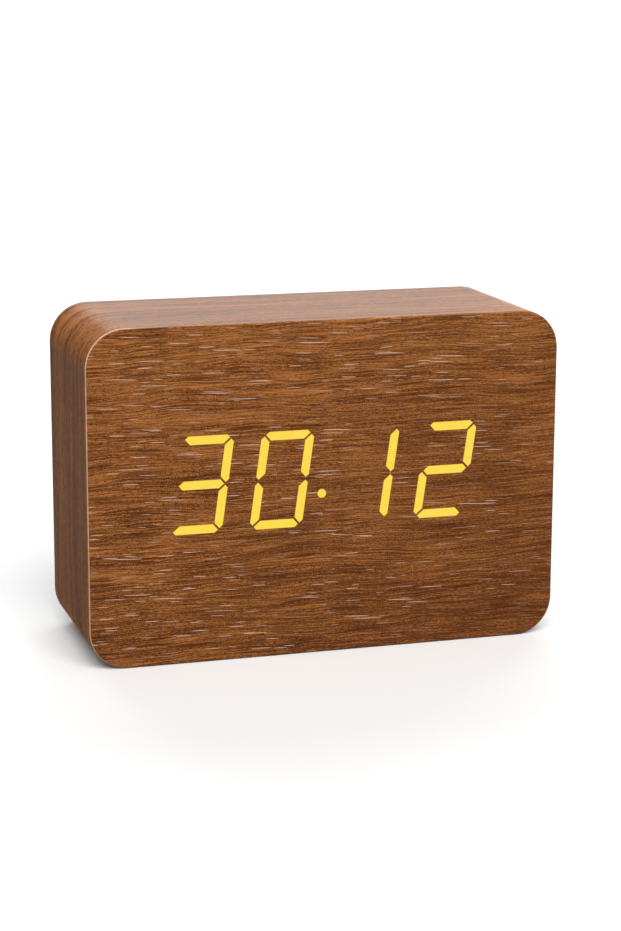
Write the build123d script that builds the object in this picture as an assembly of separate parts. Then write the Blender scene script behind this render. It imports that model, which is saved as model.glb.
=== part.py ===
from build123d import *
from math import cos, pi, radians, sin, sqrt, tan
import os

# A small digital desk clock in a wood-covered case. All lengths are in millimetres.
# X runs to the right as seen from the front, Y to the back and Z up.
# The origin is under the middle of the case, on the surface that the clock stands on.

# Case
CASE_WIDTH = 100.0
CASE_HEIGHT = 69.7
CASE_DEPTH = 38.0
CASE_CORNER_RADIUS = 8.0
FRONT_FOIL = 0.5
FRONT_BEVEL = 0.3
SIDE_FOIL = 0.4
REAR_BEVEL = 1.0
FRONT_BOARD = 5.0
FRAME_WALL = 4.6
CAVITY_CORNER_RADIUS = 12.0

# Display digits
SHOWN_TEXT = "30.12"
DIGIT_HEIGHT = 20.32
DIGIT_WIDTH = 11.3
DIGIT_SLANT_DEGREES = 8.0
PAIR_PITCH = 16.9
CENTRE_PITCH = 18.3
SEGMENT_STROKE = 1.95
SEGMENT_GAP = 0.27
CORNER_CHAMFER = 1.55
WAIST_NOTCH = 0.65
COLON_RADIUS = 1.0
COLON_HALF_PITCH = 3.4
COLON_SHIFT = -0.2
DISPLAY_SHIFT_RIGHT = -0.6
DISPLAY_LIFT = 2.35

# Display module
REFLECTOR_DEPTH = 8.0
REFLECTOR_SIDE_BORDER = 2.0
REFLECTOR_END_BORDER = 3.2
REFLECTOR_CORNER_RADIUS = 1.5
WINDOW_CLEARANCE = 0.2
LENS_DEPTH = 1.6
CELL_DRAFT_DEGREES = 2.6
LED_LENGTH = 1.6
LED_BREADTH = 0.8
LED_HEIGHT = 0.6

# Circuit boards and small screws
BOARD = 1.6
DISPLAY_BOARD_SIDE_MARGIN = 1.0
BOARD_CORNER_RADIUS = 1.5
SPACER_RADIUS = 2.2
SPACER_SIDES = 6
SPACER_EDGE_DISTANCE = 3.0
SPACER_SIDE_INSET = 5.0
BOARD_SCREW_RADIUS = 0.9
BOARD_SCREW_HEAD_RADIUS = 1.8
BOARD_SCREW_HEAD = 1.2
BOARD_SCREW_BITE = 3.6
SCREW_HOLE_CLEARANCE = 0.2

# Parts on the back of the display board, placed by shares of the board's half width and half height
CHIP_LENGTH = 12.8
CHIP_BREADTH = 7.5
CHIP_HEIGHT = 2.3
CHIP_STANDOFF = 0.2
CHIP_BEVEL = 0.4
CHIP_LEADS_PER_SIDE = 10
CHIP_LEAD_PITCH = 1.27
CHIP_LEAD_WIDTH = 0.42
CHIP_LEAD_THICKNESS = 0.25
CHIP_LEAD_REACH = 1.4
CHIP_PLACE_SHARES = (0.02, 0.5)
CRYSTAL_RADIUS = 1.0
CRYSTAL_LENGTH = 6.0
CRYSTAL_PLACE_SHARES = (0.37, 0.8)
CAPACITOR_RADIUS = 3.15
CAPACITOR_HEIGHT = 5.4
CAPACITOR_BEVEL = 0.5
CAPACITOR_PLACE_SHARES = (-0.12, -0.48)
BUZZER_RADIUS = 6.0
BUZZER_HEIGHT = 5.5
BUZZER_HOLE_RADIUS = 1.0
BUZZER_HOLE_DEPTH = 2.0
BUZZER_PLACE_SHARES = (0.5, -0.3)
RESISTOR_COUNT = 8
RESISTOR_LENGTH = 2.0
RESISTOR_BREADTH = 1.25
RESISTOR_HEIGHT = 0.5
RESISTOR_PITCH = 2.2
RESISTOR_PLACE_SHARES = (-0.08, 0.02)
TRANSISTOR_COUNT = 4
TRANSISTOR_LENGTH = 2.9
TRANSISTOR_BREADTH = 1.3
TRANSISTOR_HEIGHT = 1.0
TRANSISTOR_PITCH = 4.4
TRANSISTOR_PLACE_SHARES = (-0.52, 0.72)

# Ribbon cable and its connectors
RIBBON_WAYS = 8
RIBBON_PITCH = 1.27
RIBBON_THICKNESS = 0.9
RIBBON_BEND_SHARE = 0.33
RIBBON_RISE = 21.0
CONNECTOR_MARGIN = 1.2
CONNECTOR_BREADTH = 5.0
CONNECTOR_HEIGHT = 3.0

# Rear panel
PANEL = 2.4
PANEL_RECESS = 1.0
REBATE_INSET = 2.4
PANEL_CLEARANCE = 0.2
PANEL_BEVEL = 0.3
PANEL_SCREW_INSET = 4.6
PANEL_SCREW_RADIUS = 1.2
PANEL_SCREW_HEAD_RADIUS = 2.3
PANEL_SCREW_HEAD = 1.3
PANEL_SCREW_BEVEL = 0.6
PANEL_SCREW_SEAT = 1.2
PANEL_SCREW_LENGTH = 10.0
SOUND_SLOTS = 7
SOUND_SLOT_WIDTH = 1.2
SOUND_SLOT_LENGTH_SHARE = 0.54
SOUND_SLOT_PITCH = 2.4

# AAA cells and their contacts
CELL_COUNT = 3
CELL_DIAMETER = 10.3
CELL_LENGTH = 44.5
NUB_RADIUS = 1.9
NUB_HEIGHT = 1.1
CELL_GAP = 0.5
CELL_CLEARANCE = 0.3
CONTACT_PLATE = 0.4
CONTACT_PLATE_WIDTH = 8.0
CONTACT_PLATE_DROP = 0.8
CONTACT_DIMPLE_RADIUS = 2.2
CONTACT_DIMPLE = 0.4
CONTACT_TAIL_WIDTH = 3.0
CONTACT_TAIL_REACH = 2.4
SLOT_CLEARANCE = 0.1
SPRING_LENGTH = 4.2
SPRING_TURNS = 2.5
SPRING_WIDE_RADIUS = 3.9
SPRING_NARROW_RADIUS = 2.2
SPRING_WIRE_RADIUS = 0.3
SPRING_WIRE_SIDES = 4
LEAD_RADIUS = 0.6
LEAD_SIDES = 6
LEAD_BEND_RADIUS = 2.2
LEAD_BOARD_INSET = 1.6

# Battery bay and door
BAY_WALL = 1.2
BAY_FLOOR = 1.2
BAY_RIB_HEIGHT = 3.0
BAY_RIB_HALF_WIDTH = 1.4
BAY_RIB_END_GAP = 1.0
DOOR = 1.6
DOOR_CLEARANCE = 0.3
DOOR_CORNER_RADIUS = 1.0
TAB_WIDTH = 6.0
TAB_THICKNESS = 1.0
TAB_REACH = 2.0
TAB_SPREAD_SHARE = 0.6
TAB_ROOM = 1.3
LATCH_POCKET = 3.4
LATCH_WIDTH = 9.0
LATCH_DEPTH = 5.3
LATCH_ARM = 0.9
LATCH_LEAN = 0.5
LATCH_GAP = 0.1
LATCH_NIB = 1.2
LATCH_ROUND = 0.6
LATCH_SLOT = 0.5
LATCH_ROOM = 0.6
SCOOP_RADIUS = 12.0
SCOOP_DEPTH = 1.1
GRIP_RIBS = 5
GRIP_RIB_LENGTH = 12.0
GRIP_RIB_WIDTH = 0.8
GRIP_RIB_HEIGHT = 0.3
GRIP_RIB_PITCH = 1.7

# Control board, its switches, buttons, sensor and power jack
CONTROL_BOARD_WIDTH = 16.0
CONTROL_BOARD_GAP = 3.0
CONTROL_SCREW_INSET = 2.4
CONTROL_SPACING = 0.8
BOSS_RADIUS = 2.4
BOSS_BITE = 4.0
BUTTON_PITCH = 9.0
BUTTON_RADIUS = 3.0
BUTTON_PROUD = 0.7
BUTTON_BEVEL = 0.5
BUTTON_HOLE_CLEARANCE = 0.25
BUTTON_HOLE_BEVEL = 0.4
BUTTON_FLANGE_RADIUS = 3.9
BUTTON_FLANGE = 0.8
BUTTON_SEAT_GAP = 0.1
BUTTON_STEM_RADIUS = 2.0
BUTTON_STEM = 0.7
BUTTON_TRAVEL = 0.3
SWITCH_WIDTH = 6.0
SWITCH_BODY = 3.5
SWITCH_LID = 0.6
SWITCH_BASE = 1.0
SWITCH_CHAMBER_WIDTH = 5.2
SWITCH_HEIGHT = 5.0
PLUNGER_RADIUS = 1.75
PLUNGER_CLEARANCE = 0.1
PLUNGER_FLANGE = 0.7
SWITCH_DOME_GAP = 0.1
SWITCH_DOME_BEVEL_SHARE = 0.75
SENSOR_RADIUS = 2.0
SENSOR_HEIGHT = 2.0
SENSOR_HOLE_RADIUS = 0.8
SENSOR_EDGE_DISTANCE = 2.6
JACK_WIDTH = 8.4
JACK_HEIGHT = 7.2
JACK_COLLAR_RADIUS = 3.1
JACK_COLLAR_CLEARANCE = 0.25
JACK_COLLAR_DROP = 0.4
JACK_BORE_RADIUS = 1.9
JACK_FLOOR = 1.2
JACK_PIN_RADIUS = 0.65
JACK_PIN_DROP = 0.8

# Hidden round pieces and holes are many-sided bars, to keep the model light
SMALL_SIDES = 12
BROAD_SIDES = 24

OVERRUN = 1.0

# Places worked out from the sizes above
FRONT = -CASE_DEPTH / 2
REAR = CASE_DEPTH / 2
MIDDLE_Z = CASE_HEIGHT / 2
FOIL_BACK = FRONT + FRONT_FOIL
BOARD_BACK = FOIL_BACK + FRONT_BOARD
CAVITY_INSET = SIDE_FOIL + FRAME_WALL
CAVITY_HALF_WIDTH = CASE_WIDTH / 2 - CAVITY_INSET
PANEL_OUTER = REAR - PANEL_RECESS
PANEL_INNER = PANEL_OUTER - PANEL

DISPLAY_X = DISPLAY_SHIFT_RIGHT
DISPLAY_Z = MIDDLE_Z + DISPLAY_LIFT
DIGIT_LEAN = tan(radians(DIGIT_SLANT_DEGREES))
OUTER_DIGIT = CENTRE_PITCH / 2 + PAIR_PITCH
DIGIT_PLACES = [DISPLAY_X - OUTER_DIGIT, DISPLAY_X - CENTRE_PITCH / 2]
DIGIT_PLACES += [DISPLAY_X + CENTRE_PITCH / 2, DISPLAY_X + OUTER_DIGIT]
REFLECTOR_HALF_WIDTH = OUTER_DIGIT + DIGIT_WIDTH / 2 + DIGIT_HEIGHT * DIGIT_LEAN / 2 + REFLECTOR_SIDE_BORDER
REFLECTOR_HALF_HEIGHT = DIGIT_HEIGHT / 2 + REFLECTOR_END_BORDER
REFLECTOR_BACK = FOIL_BACK + REFLECTOR_DEPTH
DISPLAY_BOARD_REAR = REFLECTOR_BACK + BOARD
DISPLAY_BOARD_HALF_WIDTH = REFLECTOR_HALF_WIDTH + DISPLAY_BOARD_SIDE_MARGIN
DISPLAY_BOARD_HALF_HEIGHT = REFLECTOR_HALF_HEIGHT + 2 * SPACER_EDGE_DISTANCE
SPACER_X = REFLECTOR_HALF_WIDTH - SPACER_SIDE_INSET
SPACER_Z = REFLECTOR_HALF_HEIGHT + SPACER_EDGE_DISTANCE
SPACER_PLACES = [
    (DISPLAY_X + side * SPACER_X, DISPLAY_Z + end * SPACER_Z)
    for side in (-1, 1)
    for end in (-1, 1)
]

DOOR_INNER = PANEL_OUTER - DOOR
CELL_RADIUS = CELL_DIAMETER / 2
CELL_Y = DOOR_INNER - CELL_CLEARANCE - CELL_RADIUS
BAY_BOTTOM = CELL_Y - CELL_RADIUS - CELL_CLEARANCE
BAY_UNDERSIDE = BAY_BOTTOM - BAY_FLOOR
CELL_PITCH = CELL_DIAMETER + CELL_GAP
BAY_LENGTH = 2 * CONTACT_PLATE + CONTACT_DIMPLE + CELL_LENGTH + SPRING_LENGTH
BAY_HEIGHT = (CELL_COUNT - 1) * CELL_PITCH + CELL_DIAMETER + 2 * CELL_CLEARANCE
DOOR_HEIGHT = 2 * BAY_WALL + BAY_HEIGHT + LATCH_POCKET
DOOR_LENGTH = BAY_LENGTH + 2 * BAY_WALL
BACK_GROUP_RIGHT = (DOOR_LENGTH + CONTROL_BOARD_GAP + CONTROL_BOARD_WIDTH) / 2
BAY_RIGHT = BACK_GROUP_RIGHT - BAY_WALL
BAY_LEFT = BAY_RIGHT - BAY_LENGTH
BAY_X = (BAY_LEFT + BAY_RIGHT) / 2
DOOR_LOW = MIDDLE_Z - DOOR_HEIGHT / 2
DOOR_TOP = DOOR_LOW + DOOR_HEIGHT
BAY_LOW = DOOR_LOW + BAY_WALL
BAY_TOP = BAY_LOW + BAY_HEIGHT
BAY_Z = (BAY_LOW + BAY_TOP) / 2
CELL_PLACES = [BAY_LOW + CELL_CLEARANCE + CELL_RADIUS + row * CELL_PITCH for row in range(CELL_COUNT)]
TAB_PLACES = [BAY_X + side * TAB_SPREAD_SHARE * DOOR_LENGTH / 2 for side in (-1, 1)]
TAB_OUTER = PANEL_INNER - DOOR_CLEARANCE
LEAD_Y = BAY_UNDERSIDE - DOOR_CLEARANCE - LEAD_RADIUS

CONTROL_X = CONTROL_BOARD_WIDTH / 2 - BACK_GROUP_RIGHT
CONTROL_Z = MIDDLE_Z
BUTTON_FLANGE_REAR = PANEL_INNER - BUTTON_SEAT_GAP
BUTTON_FLANGE_FRONT = BUTTON_FLANGE_REAR - BUTTON_FLANGE
PLUNGER_TOP = BUTTON_FLANGE_FRONT - BUTTON_STEM
CONTROL_BOARD_REAR = PLUNGER_TOP - SWITCH_HEIGHT
CONTROL_BOARD_FRONT = CONTROL_BOARD_REAR - BOARD
BUTTON_NAMES = ("down", "up", "set")
BUTTON_STACK = (len(BUTTON_NAMES) - 1) * BUTTON_PITCH + 2 * BUTTON_FLANGE_RADIUS
CONTROL_STACK = JACK_HEIGHT + BUTTON_STACK + 3 * CONTROL_SPACING
CONTROL_SCREW_LIFT = CONTROL_STACK / 2 + BOSS_RADIUS
CONTROL_SCREW_PLACES = (CONTROL_Z - CONTROL_SCREW_LIFT, CONTROL_Z + CONTROL_SCREW_LIFT)
CONTROL_BOARD_HEIGHT = 2 * (CONTROL_SCREW_LIFT + CONTROL_SCREW_INSET)
JACK_Z = CONTROL_SCREW_PLACES[0] + BOSS_RADIUS + CONTROL_SPACING + JACK_HEIGHT / 2
FIRST_BUTTON_Z = JACK_Z + JACK_HEIGHT / 2 + CONTROL_SPACING + BUTTON_FLANGE_RADIUS
BUTTON_PLACES = {name: FIRST_BUTTON_Z + row * BUTTON_PITCH for row, name in enumerate(BUTTON_NAMES)}
SENSOR_X = CONTROL_X + CONTROL_BOARD_WIDTH / 2 - SENSOR_EDGE_DISTANCE
SENSOR_Z = (BUTTON_PLACES["up"] + BUTTON_PLACES["down"]) / 2

RIBBON_WIDTH = RIBBON_WAYS * RIBBON_PITCH
RIBBON_LOW = CONTROL_Z - RIBBON_RISE / 2 + DISPLAY_LIFT
RIBBON_HIGH = RIBBON_LOW + RIBBON_RISE


def plate(outline, front, back):
    """A solid with one outline as seen from the front, between two depths."""
    return extrude(Plane.XZ.offset(-front) * outline, amount=front - back)


def rod(x, z, radius, front, back):
    """A round bar that runs from front to back."""
    return plate(Pos(x, z) * Circle(radius), front, back)


def small_rod(x, z, radius, front, back):
    """A thin bar or hole that is round in the real clock and twelve-sided here."""
    return plate(Pos(x, z) * RegularPolygon(radius, SMALL_SIDES), front, back)


def broad_rod(x, z, radius, front, back):
    """A broader hidden bar, round in the real clock and with twice as many sides."""
    return plate(Pos(x, z) * RegularPolygon(radius, BROAD_SIDES), front, back)


def block(x, z, width, height, front, back):
    """A square-cornered bar that runs from front to back."""
    return plate(Pos(x, z) * Rectangle(width, height), front, back)


def bar(corners, left, length):
    """A bar that runs to the right, with its outline given as depths and heights."""
    return extrude(Plane.YZ.offset(left) * Polygon(*corners, align=None), amount=length, dir=(1, 0, 0))


def rounded_outline(x, z, width, height, radius):
    """A rectangle with rounded corners, as seen from the front."""
    return Pos(x, z) * RectangleRounded(width, height, radius)


def case_outline(inset):
    """The case's outline as seen from the front, drawn in by an inset."""
    width = CASE_WIDTH - 2 * inset
    height = CASE_HEIGHT - 2 * inset
    return rounded_outline(0, MIDDLE_Z, width, height, CASE_CORNER_RADIUS - inset)


def bevel_front(solid, size):
    """Bevels the edges of a solid's foremost face."""
    return chamfer(solid.edges().group_by(Axis.Y)[0], size)


def bevel_back(solid, size):
    """Bevels the edges of a solid's rearmost face."""
    return chamfer(solid.edges().group_by(Axis.Y)[-1], size)


def group(solids):
    """Separate solids that share one node."""
    return Compound(solids)


def board_screw(x, z, seat, tip, head_top):
    """One of the small screws that hold the circuit boards, with its head from the seat to the head's top."""
    shank = small_rod(x, z, BOARD_SCREW_RADIUS, *sorted((seat, tip)))
    return shank + small_rod(x, z, BOARD_SCREW_HEAD_RADIUS, *sorted((seat, head_top)))


# Case


def panel_screw_places():
    """The four corners' screws, on the thick corners of the frame."""
    across = CASE_WIDTH / 2 - REBATE_INSET - PANEL_SCREW_INSET
    up = CASE_HEIGHT / 2 - REBATE_INSET - PANEL_SCREW_INSET
    return [(side * across, MIDDLE_Z + end * up) for side in (-1, 1) for end in (-1, 1)]


def rebate():
    """The space that the rear panel drops into."""
    return plate(case_outline(REBATE_INSET), PANEL_INNER, REAR + OVERRUN)


def frame_core(front):
    """What the side foil is wrapped round, from one depth to the foil's turned edge."""
    core = plate(case_outline(SIDE_FOIL), front, REAR - SIDE_FOIL)
    return bevel_back(core, REAR_BEVEL - (2 - sqrt(2)) * SIDE_FOIL)


def case_frame():
    """The fibreboard frame: a routed cavity with thick corners and a rebate for the rear panel."""
    frame = frame_core(BOARD_BACK)
    cavity_width = 2 * CAVITY_HALF_WIDTH
    cavity_height = CASE_HEIGHT - 2 * CAVITY_INSET
    cavity = rounded_outline(0, MIDDLE_Z, cavity_width, cavity_height, CAVITY_CORNER_RADIUS)
    frame -= plate(cavity, BOARD_BACK - OVERRUN, PANEL_INNER + OVERRUN)
    frame -= rebate()
    seat = PANEL_OUTER - PANEL_SCREW_SEAT
    for x, z in panel_screw_places():
        frame -= small_rod(x, z, PANEL_SCREW_RADIUS, seat - PANEL_SCREW_LENGTH, PANEL_INNER)
    return frame


def side_foil():
    """The wood-grain foil round the four sides, turned over the rear edge as far as the rebate."""
    foil = bevel_back(plate(case_outline(0), FOIL_BACK, REAR), REAR_BEVEL)
    return foil - frame_core(FOIL_BACK - OVERRUN) - rebate()


def front_board():
    """The fibreboard front, with the display's window and four pilot holes."""
    board = plate(case_outline(SIDE_FOIL), FOIL_BACK, BOARD_BACK)
    width = 2 * (REFLECTOR_HALF_WIDTH + WINDOW_CLEARANCE)
    height = 2 * (REFLECTOR_HALF_HEIGHT + WINDOW_CLEARANCE)
    radius = REFLECTOR_CORNER_RADIUS + WINDOW_CLEARANCE
    board -= plate(rounded_outline(DISPLAY_X, DISPLAY_Z, width, height, radius), FOIL_BACK, BOARD_BACK)
    for x, z in SPACER_PLACES:
        board -= small_rod(x, z, BOARD_SCREW_RADIUS, BOARD_BACK - BOARD_SCREW_BITE, BOARD_BACK)
    return board


# Display


def upright_segment(letter):
    """The corner points of one segment of an upright digit about its middle.

    The six-cornered outlines meet at 45 degrees with a gap, and the digit's outer corners are chamfered."""
    wide = DIGIT_WIDTH / 2
    high = DIGIT_HEIGHT / 2
    stroke = SEGMENT_STROKE
    half_gap = SEGMENT_GAP / (2 * sqrt(2))
    gap = 2 * half_gap
    tip = CORNER_CHAMFER / 2
    if letter == "g":
        left = [(WAIST_NOTCH + gap + stroke / 2, stroke / 2), (WAIST_NOTCH + gap, 0)]
        left += [(WAIST_NOTCH + gap + stroke / 2, -stroke / 2)]
        points = [(x - wide, z) for x, z in left]
        return points + [(-x, z) for x, z in reversed(points)]
    if letter in "ad":
        left = [(CORNER_CHAMFER, 0), (tip + half_gap, tip - half_gap), (stroke + gap, stroke)]
        points = [(x - wide, high - down) for x, down in left]
        points += [(-x, z) for x, z in reversed(points)]
    else:
        upper = [(0, CORNER_CHAMFER), (tip - half_gap, tip + half_gap), (stroke, stroke + gap)]
        lower = [(stroke, stroke - WAIST_NOTCH + gap), (WAIST_NOTCH, gap), (0, gap + WAIST_NOTCH)]
        points = [(x - wide, high - down) for x, down in upper]
        points += [(x - wide, up) for x, up in lower]
    if letter in "bc":
        points = [(-x, z) for x, z in points]
    if letter in "cde":
        points = [(x, -z) for x, z in points]
    return points


def middle(points):
    """The middle of an outline's extent, as x and z."""
    across = [x for x, z in points]
    up = [z for x, z in points]
    return (min(across) + max(across)) / 2, (min(up) + max(up)) / 2


def segment_face(letter, digit_x, depth):
    """One slanted segment as a flat face."""
    corners = [(digit_x + x + z * DIGIT_LEAN, DISPLAY_Z + z) for x, z in upright_segment(letter)]
    return Plane.XZ.offset(-depth) * Polygon(*corners, align=None)


def segment_chip_place(letter, digit_x):
    """Where a segment's LED sits."""
    x, z = middle(upright_segment(letter))
    return digit_x + x + z * DIGIT_LEAN, DISPLAY_Z + z


def colon_places():
    """The two dots between the pairs, the upper first."""
    x = DISPLAY_X + COLON_SHIFT
    lifts = (COLON_HALF_PITCH, -COLON_HALF_PITCH)
    return [(x + lift * DIGIT_LEAN, DISPLAY_Z + lift) for lift in lifts]


def lit_segments():
    """The lit places of the front foil, as thick as the foil."""
    letters = {"0": "abcdef", "1": "bc", "2": "abdeg", "3": "abcdg"}
    lit = []
    digits = SHOWN_TEXT.replace(".", "")
    for digit, x in zip(digits, DIGIT_PLACES):
        faces = [segment_face(letter, x, FRONT) for letter in letters[digit]]
        lit += [extrude(face, amount=FRONT_FOIL, dir=(0, 1, 0)) for face in faces]
    if "." in SHOWN_TEXT:
        lit.append(rod(*colon_places()[1], COLON_RADIUS, FRONT, FOIL_BACK))
    return lit


def front_foil(lit):
    """The front's foil with a bevelled edge, open at each lit place."""
    foil = bevel_front(plate(case_outline(0), FRONT, FOIL_BACK), FRONT_BEVEL)
    for segment in lit:
        foil -= segment
    return foil


def display_cells():
    """The hollow cells of the reflector: a segment wide at the front, narrowing to the LED."""
    cells = []
    for x in DIGIT_PLACES:
        for letter in "abcdefg":
            mouth = segment_face(letter, x, FOIL_BACK)
            cells.append(extrude(mouth, REFLECTOR_DEPTH, dir=(0, 1, 0), taper=CELL_DRAFT_DEGREES))
    return cells + [rod(x, z, COLON_RADIUS, FOIL_BACK, REFLECTOR_BACK) for x, z in colon_places()]


def display_reflector(cells):
    """The moulded housing of the display, pierced by its tapered cells."""
    width = 2 * REFLECTOR_HALF_WIDTH
    height = 2 * REFLECTOR_HALF_HEIGHT
    outline = rounded_outline(DISPLAY_X, DISPLAY_Z, width, height, REFLECTOR_CORNER_RADIUS)
    housing = plate(outline, FOIL_BACK, REFLECTOR_BACK)
    for cell in cells:
        housing -= cell
    return housing


def segment_lenses(cells):
    """The diffusing fill in the mouth of each cell."""
    width = 2 * REFLECTOR_HALF_WIDTH
    height = 2 * REFLECTOR_HALF_HEIGHT
    slab = block(DISPLAY_X, DISPLAY_Z, width, height, FOIL_BACK, FOIL_BACK + LENS_DEPTH)
    return [cell & slab for cell in cells]


def led_chips():
    """One LED at the root of each cell, lying along its segment."""
    front = REFLECTOR_BACK - LED_HEIGHT
    chips = []
    for digit_x in DIGIT_PLACES:
        for letter in "abcdefg":
            x, z = segment_chip_place(letter, digit_x)
            width, height = (LED_LENGTH, LED_BREADTH) if letter in "adg" else (LED_BREADTH, LED_LENGTH)
            chips.append(block(x, z, width, height, front, REFLECTOR_BACK))
    return chips + [block(x, z, LED_LENGTH, LED_BREADTH, front, REFLECTOR_BACK) for x, z in colon_places()]


# Display board


def board_place(shares):
    """A place on the display board, from shares of its half width and half height."""
    across, up = shares
    return DISPLAY_X + across * DISPLAY_BOARD_HALF_WIDTH, DISPLAY_Z + up * DISPLAY_BOARD_HALF_HEIGHT


def display_board():
    """The circuit board behind the reflector."""
    width = 2 * DISPLAY_BOARD_HALF_WIDTH
    height = 2 * DISPLAY_BOARD_HALF_HEIGHT
    outline = rounded_outline(DISPLAY_X, DISPLAY_Z, width, height, BOARD_CORNER_RADIUS)
    board = plate(outline, REFLECTOR_BACK, DISPLAY_BOARD_REAR)
    for x, z in SPACER_PLACES:
        board -= small_rod(x, z, BOARD_SCREW_RADIUS + SCREW_HOLE_CLEARANCE, REFLECTOR_BACK, DISPLAY_BOARD_REAR)
    return board


def board_spacers():
    """Six-sided sleeves that hold the display board off the front board."""
    hole = BOARD_SCREW_RADIUS + SCREW_HOLE_CLEARANCE
    section = RegularPolygon(SPACER_RADIUS, SPACER_SIDES) - RegularPolygon(hole, SMALL_SIDES)
    return [plate(Pos(x, z) * section, BOARD_BACK, REFLECTOR_BACK) for x, z in SPACER_PLACES]


def display_board_screws():
    """Four screws through the board and the spacers into the front board."""
    tip = BOARD_BACK - BOARD_SCREW_BITE
    head_top = DISPLAY_BOARD_REAR + BOARD_SCREW_HEAD
    return [board_screw(x, z, DISPLAY_BOARD_REAR, tip, head_top) for x, z in SPACER_PLACES]


def controller_chip():
    """The clock chip's moulded body."""
    x, z = board_place(CHIP_PLACE_SHARES)
    front = DISPLAY_BOARD_REAR + CHIP_STANDOFF
    return bevel_back(block(x, z, CHIP_LENGTH, CHIP_BREADTH, front, front + CHIP_HEIGHT), CHIP_BEVEL)


def controller_leads():
    """Two rows of gull-wing leads: out of the body's side, down, and out along the board."""
    x, z = board_place(CHIP_PLACE_SHARES)
    rise = CHIP_STANDOFF + CHIP_HEIGHT / 2
    half = CHIP_LEAD_REACH / 2
    thin = CHIP_LEAD_THICKNESS
    profile = [(0, rise), (half, rise), (half, thin), (CHIP_LEAD_REACH, thin), (CHIP_LEAD_REACH, 0)]
    profile += [(half - thin, 0), (half - thin, rise - thin), (0, rise - thin)]
    leads = []
    for side in (-1, 1):
        edge = z + side * CHIP_BREADTH / 2
        for number in range(CHIP_LEADS_PER_SIDE):
            along = x + (number - (CHIP_LEADS_PER_SIDE - 1) / 2) * CHIP_LEAD_PITCH - CHIP_LEAD_WIDTH / 2
            corners = [(DISPLAY_BOARD_REAR + up, edge + side * out) for out, up in profile]
            leads.append(bar(corners, along, CHIP_LEAD_WIDTH))
    return leads


def timing_crystal():
    """The crystal's round can, lying on the board."""
    x, z = board_place(CRYSTAL_PLACE_SHARES)
    axis = Plane((x - CRYSTAL_LENGTH / 2, DISPLAY_BOARD_REAR + CRYSTAL_RADIUS, z), z_dir=(1, 0, 0))
    return extrude(axis * RegularPolygon(CRYSTAL_RADIUS, SMALL_SIDES), amount=CRYSTAL_LENGTH)


def filter_capacitor():
    """An upright can capacitor with a bevelled top."""
    x, z = board_place(CAPACITOR_PLACE_SHARES)
    top = DISPLAY_BOARD_REAR + CAPACITOR_HEIGHT
    return bevel_back(broad_rod(x, z, CAPACITOR_RADIUS, DISPLAY_BOARD_REAR, top), CAPACITOR_BEVEL)


def buzzer():
    """The alarm's buzzer, with its sound hole."""
    x, z = board_place(BUZZER_PLACE_SHARES)
    top = DISPLAY_BOARD_REAR + BUZZER_HEIGHT
    can = broad_rod(x, z, BUZZER_RADIUS, DISPLAY_BOARD_REAR, top)
    return can - small_rod(x, z, BUZZER_HOLE_RADIUS, top - BUZZER_HOLE_DEPTH, top)


def row_of_chips(shares, count, pitch, size):
    """Equal small parts side by side along the board."""
    x, z = board_place(shares)
    width, height, rise = size
    back = DISPLAY_BOARD_REAR + rise
    places = [x + (number - (count - 1) / 2) * pitch for number in range(count)]
    return [block(place, z, width, height, DISPLAY_BOARD_REAR, back) for place in places]


def segment_resistors():
    """One resistor for each segment line."""
    size = (RESISTOR_BREADTH, RESISTOR_LENGTH, RESISTOR_HEIGHT)
    return row_of_chips(RESISTOR_PLACE_SHARES, RESISTOR_COUNT, RESISTOR_PITCH, size)


def digit_transistors():
    """One driver transistor for each digit."""
    size = (TRANSISTOR_LENGTH, TRANSISTOR_BREADTH, TRANSISTOR_HEIGHT)
    return row_of_chips(TRANSISTOR_PLACE_SHARES, TRANSISTOR_COUNT, TRANSISTOR_PITCH, size)


# Ribbon cable


def connector(z, front, back):
    """A ribbon connector's housing."""
    return block(CONTROL_X, z, RIBBON_WIDTH + 2 * CONNECTOR_MARGIN, CONNECTOR_BREADTH, front, back)


def display_connector():
    """The ribbon's connector on the display board."""
    return connector(RIBBON_LOW, DISPLAY_BOARD_REAR, DISPLAY_BOARD_REAR + CONNECTOR_HEIGHT)


def control_connector():
    """The ribbon's connector on the control board."""
    return connector(RIBBON_HIGH, CONTROL_BOARD_FRONT - CONNECTOR_HEIGHT, CONTROL_BOARD_FRONT)


def ribbon_cable():
    """The flat cable between the connectors: straight back, up, and back again, with round bends."""
    start = DISPLAY_BOARD_REAR + CONNECTOR_HEIGHT
    end = CONTROL_BOARD_FRONT - CONNECTOR_HEIGHT
    turn = (start + end) / 2
    bend = (end - start) * RIBBON_BEND_SHARE
    route = [(start, RIBBON_LOW), (turn, RIBBON_LOW), (turn, RIBBON_HIGH), (end, RIBBON_HIGH)]
    path = FilletPolyline(*[(CONTROL_X, y, z) for y, z in route], radius=bend)
    section = Plane((CONTROL_X, start, RIBBON_LOW), x_dir=(1, 0, 0), z_dir=(0, 1, 0))
    return sweep(section * Rectangle(RIBBON_WIDTH, RIBBON_THICKNESS), path=path)


# Rear panel


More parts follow.
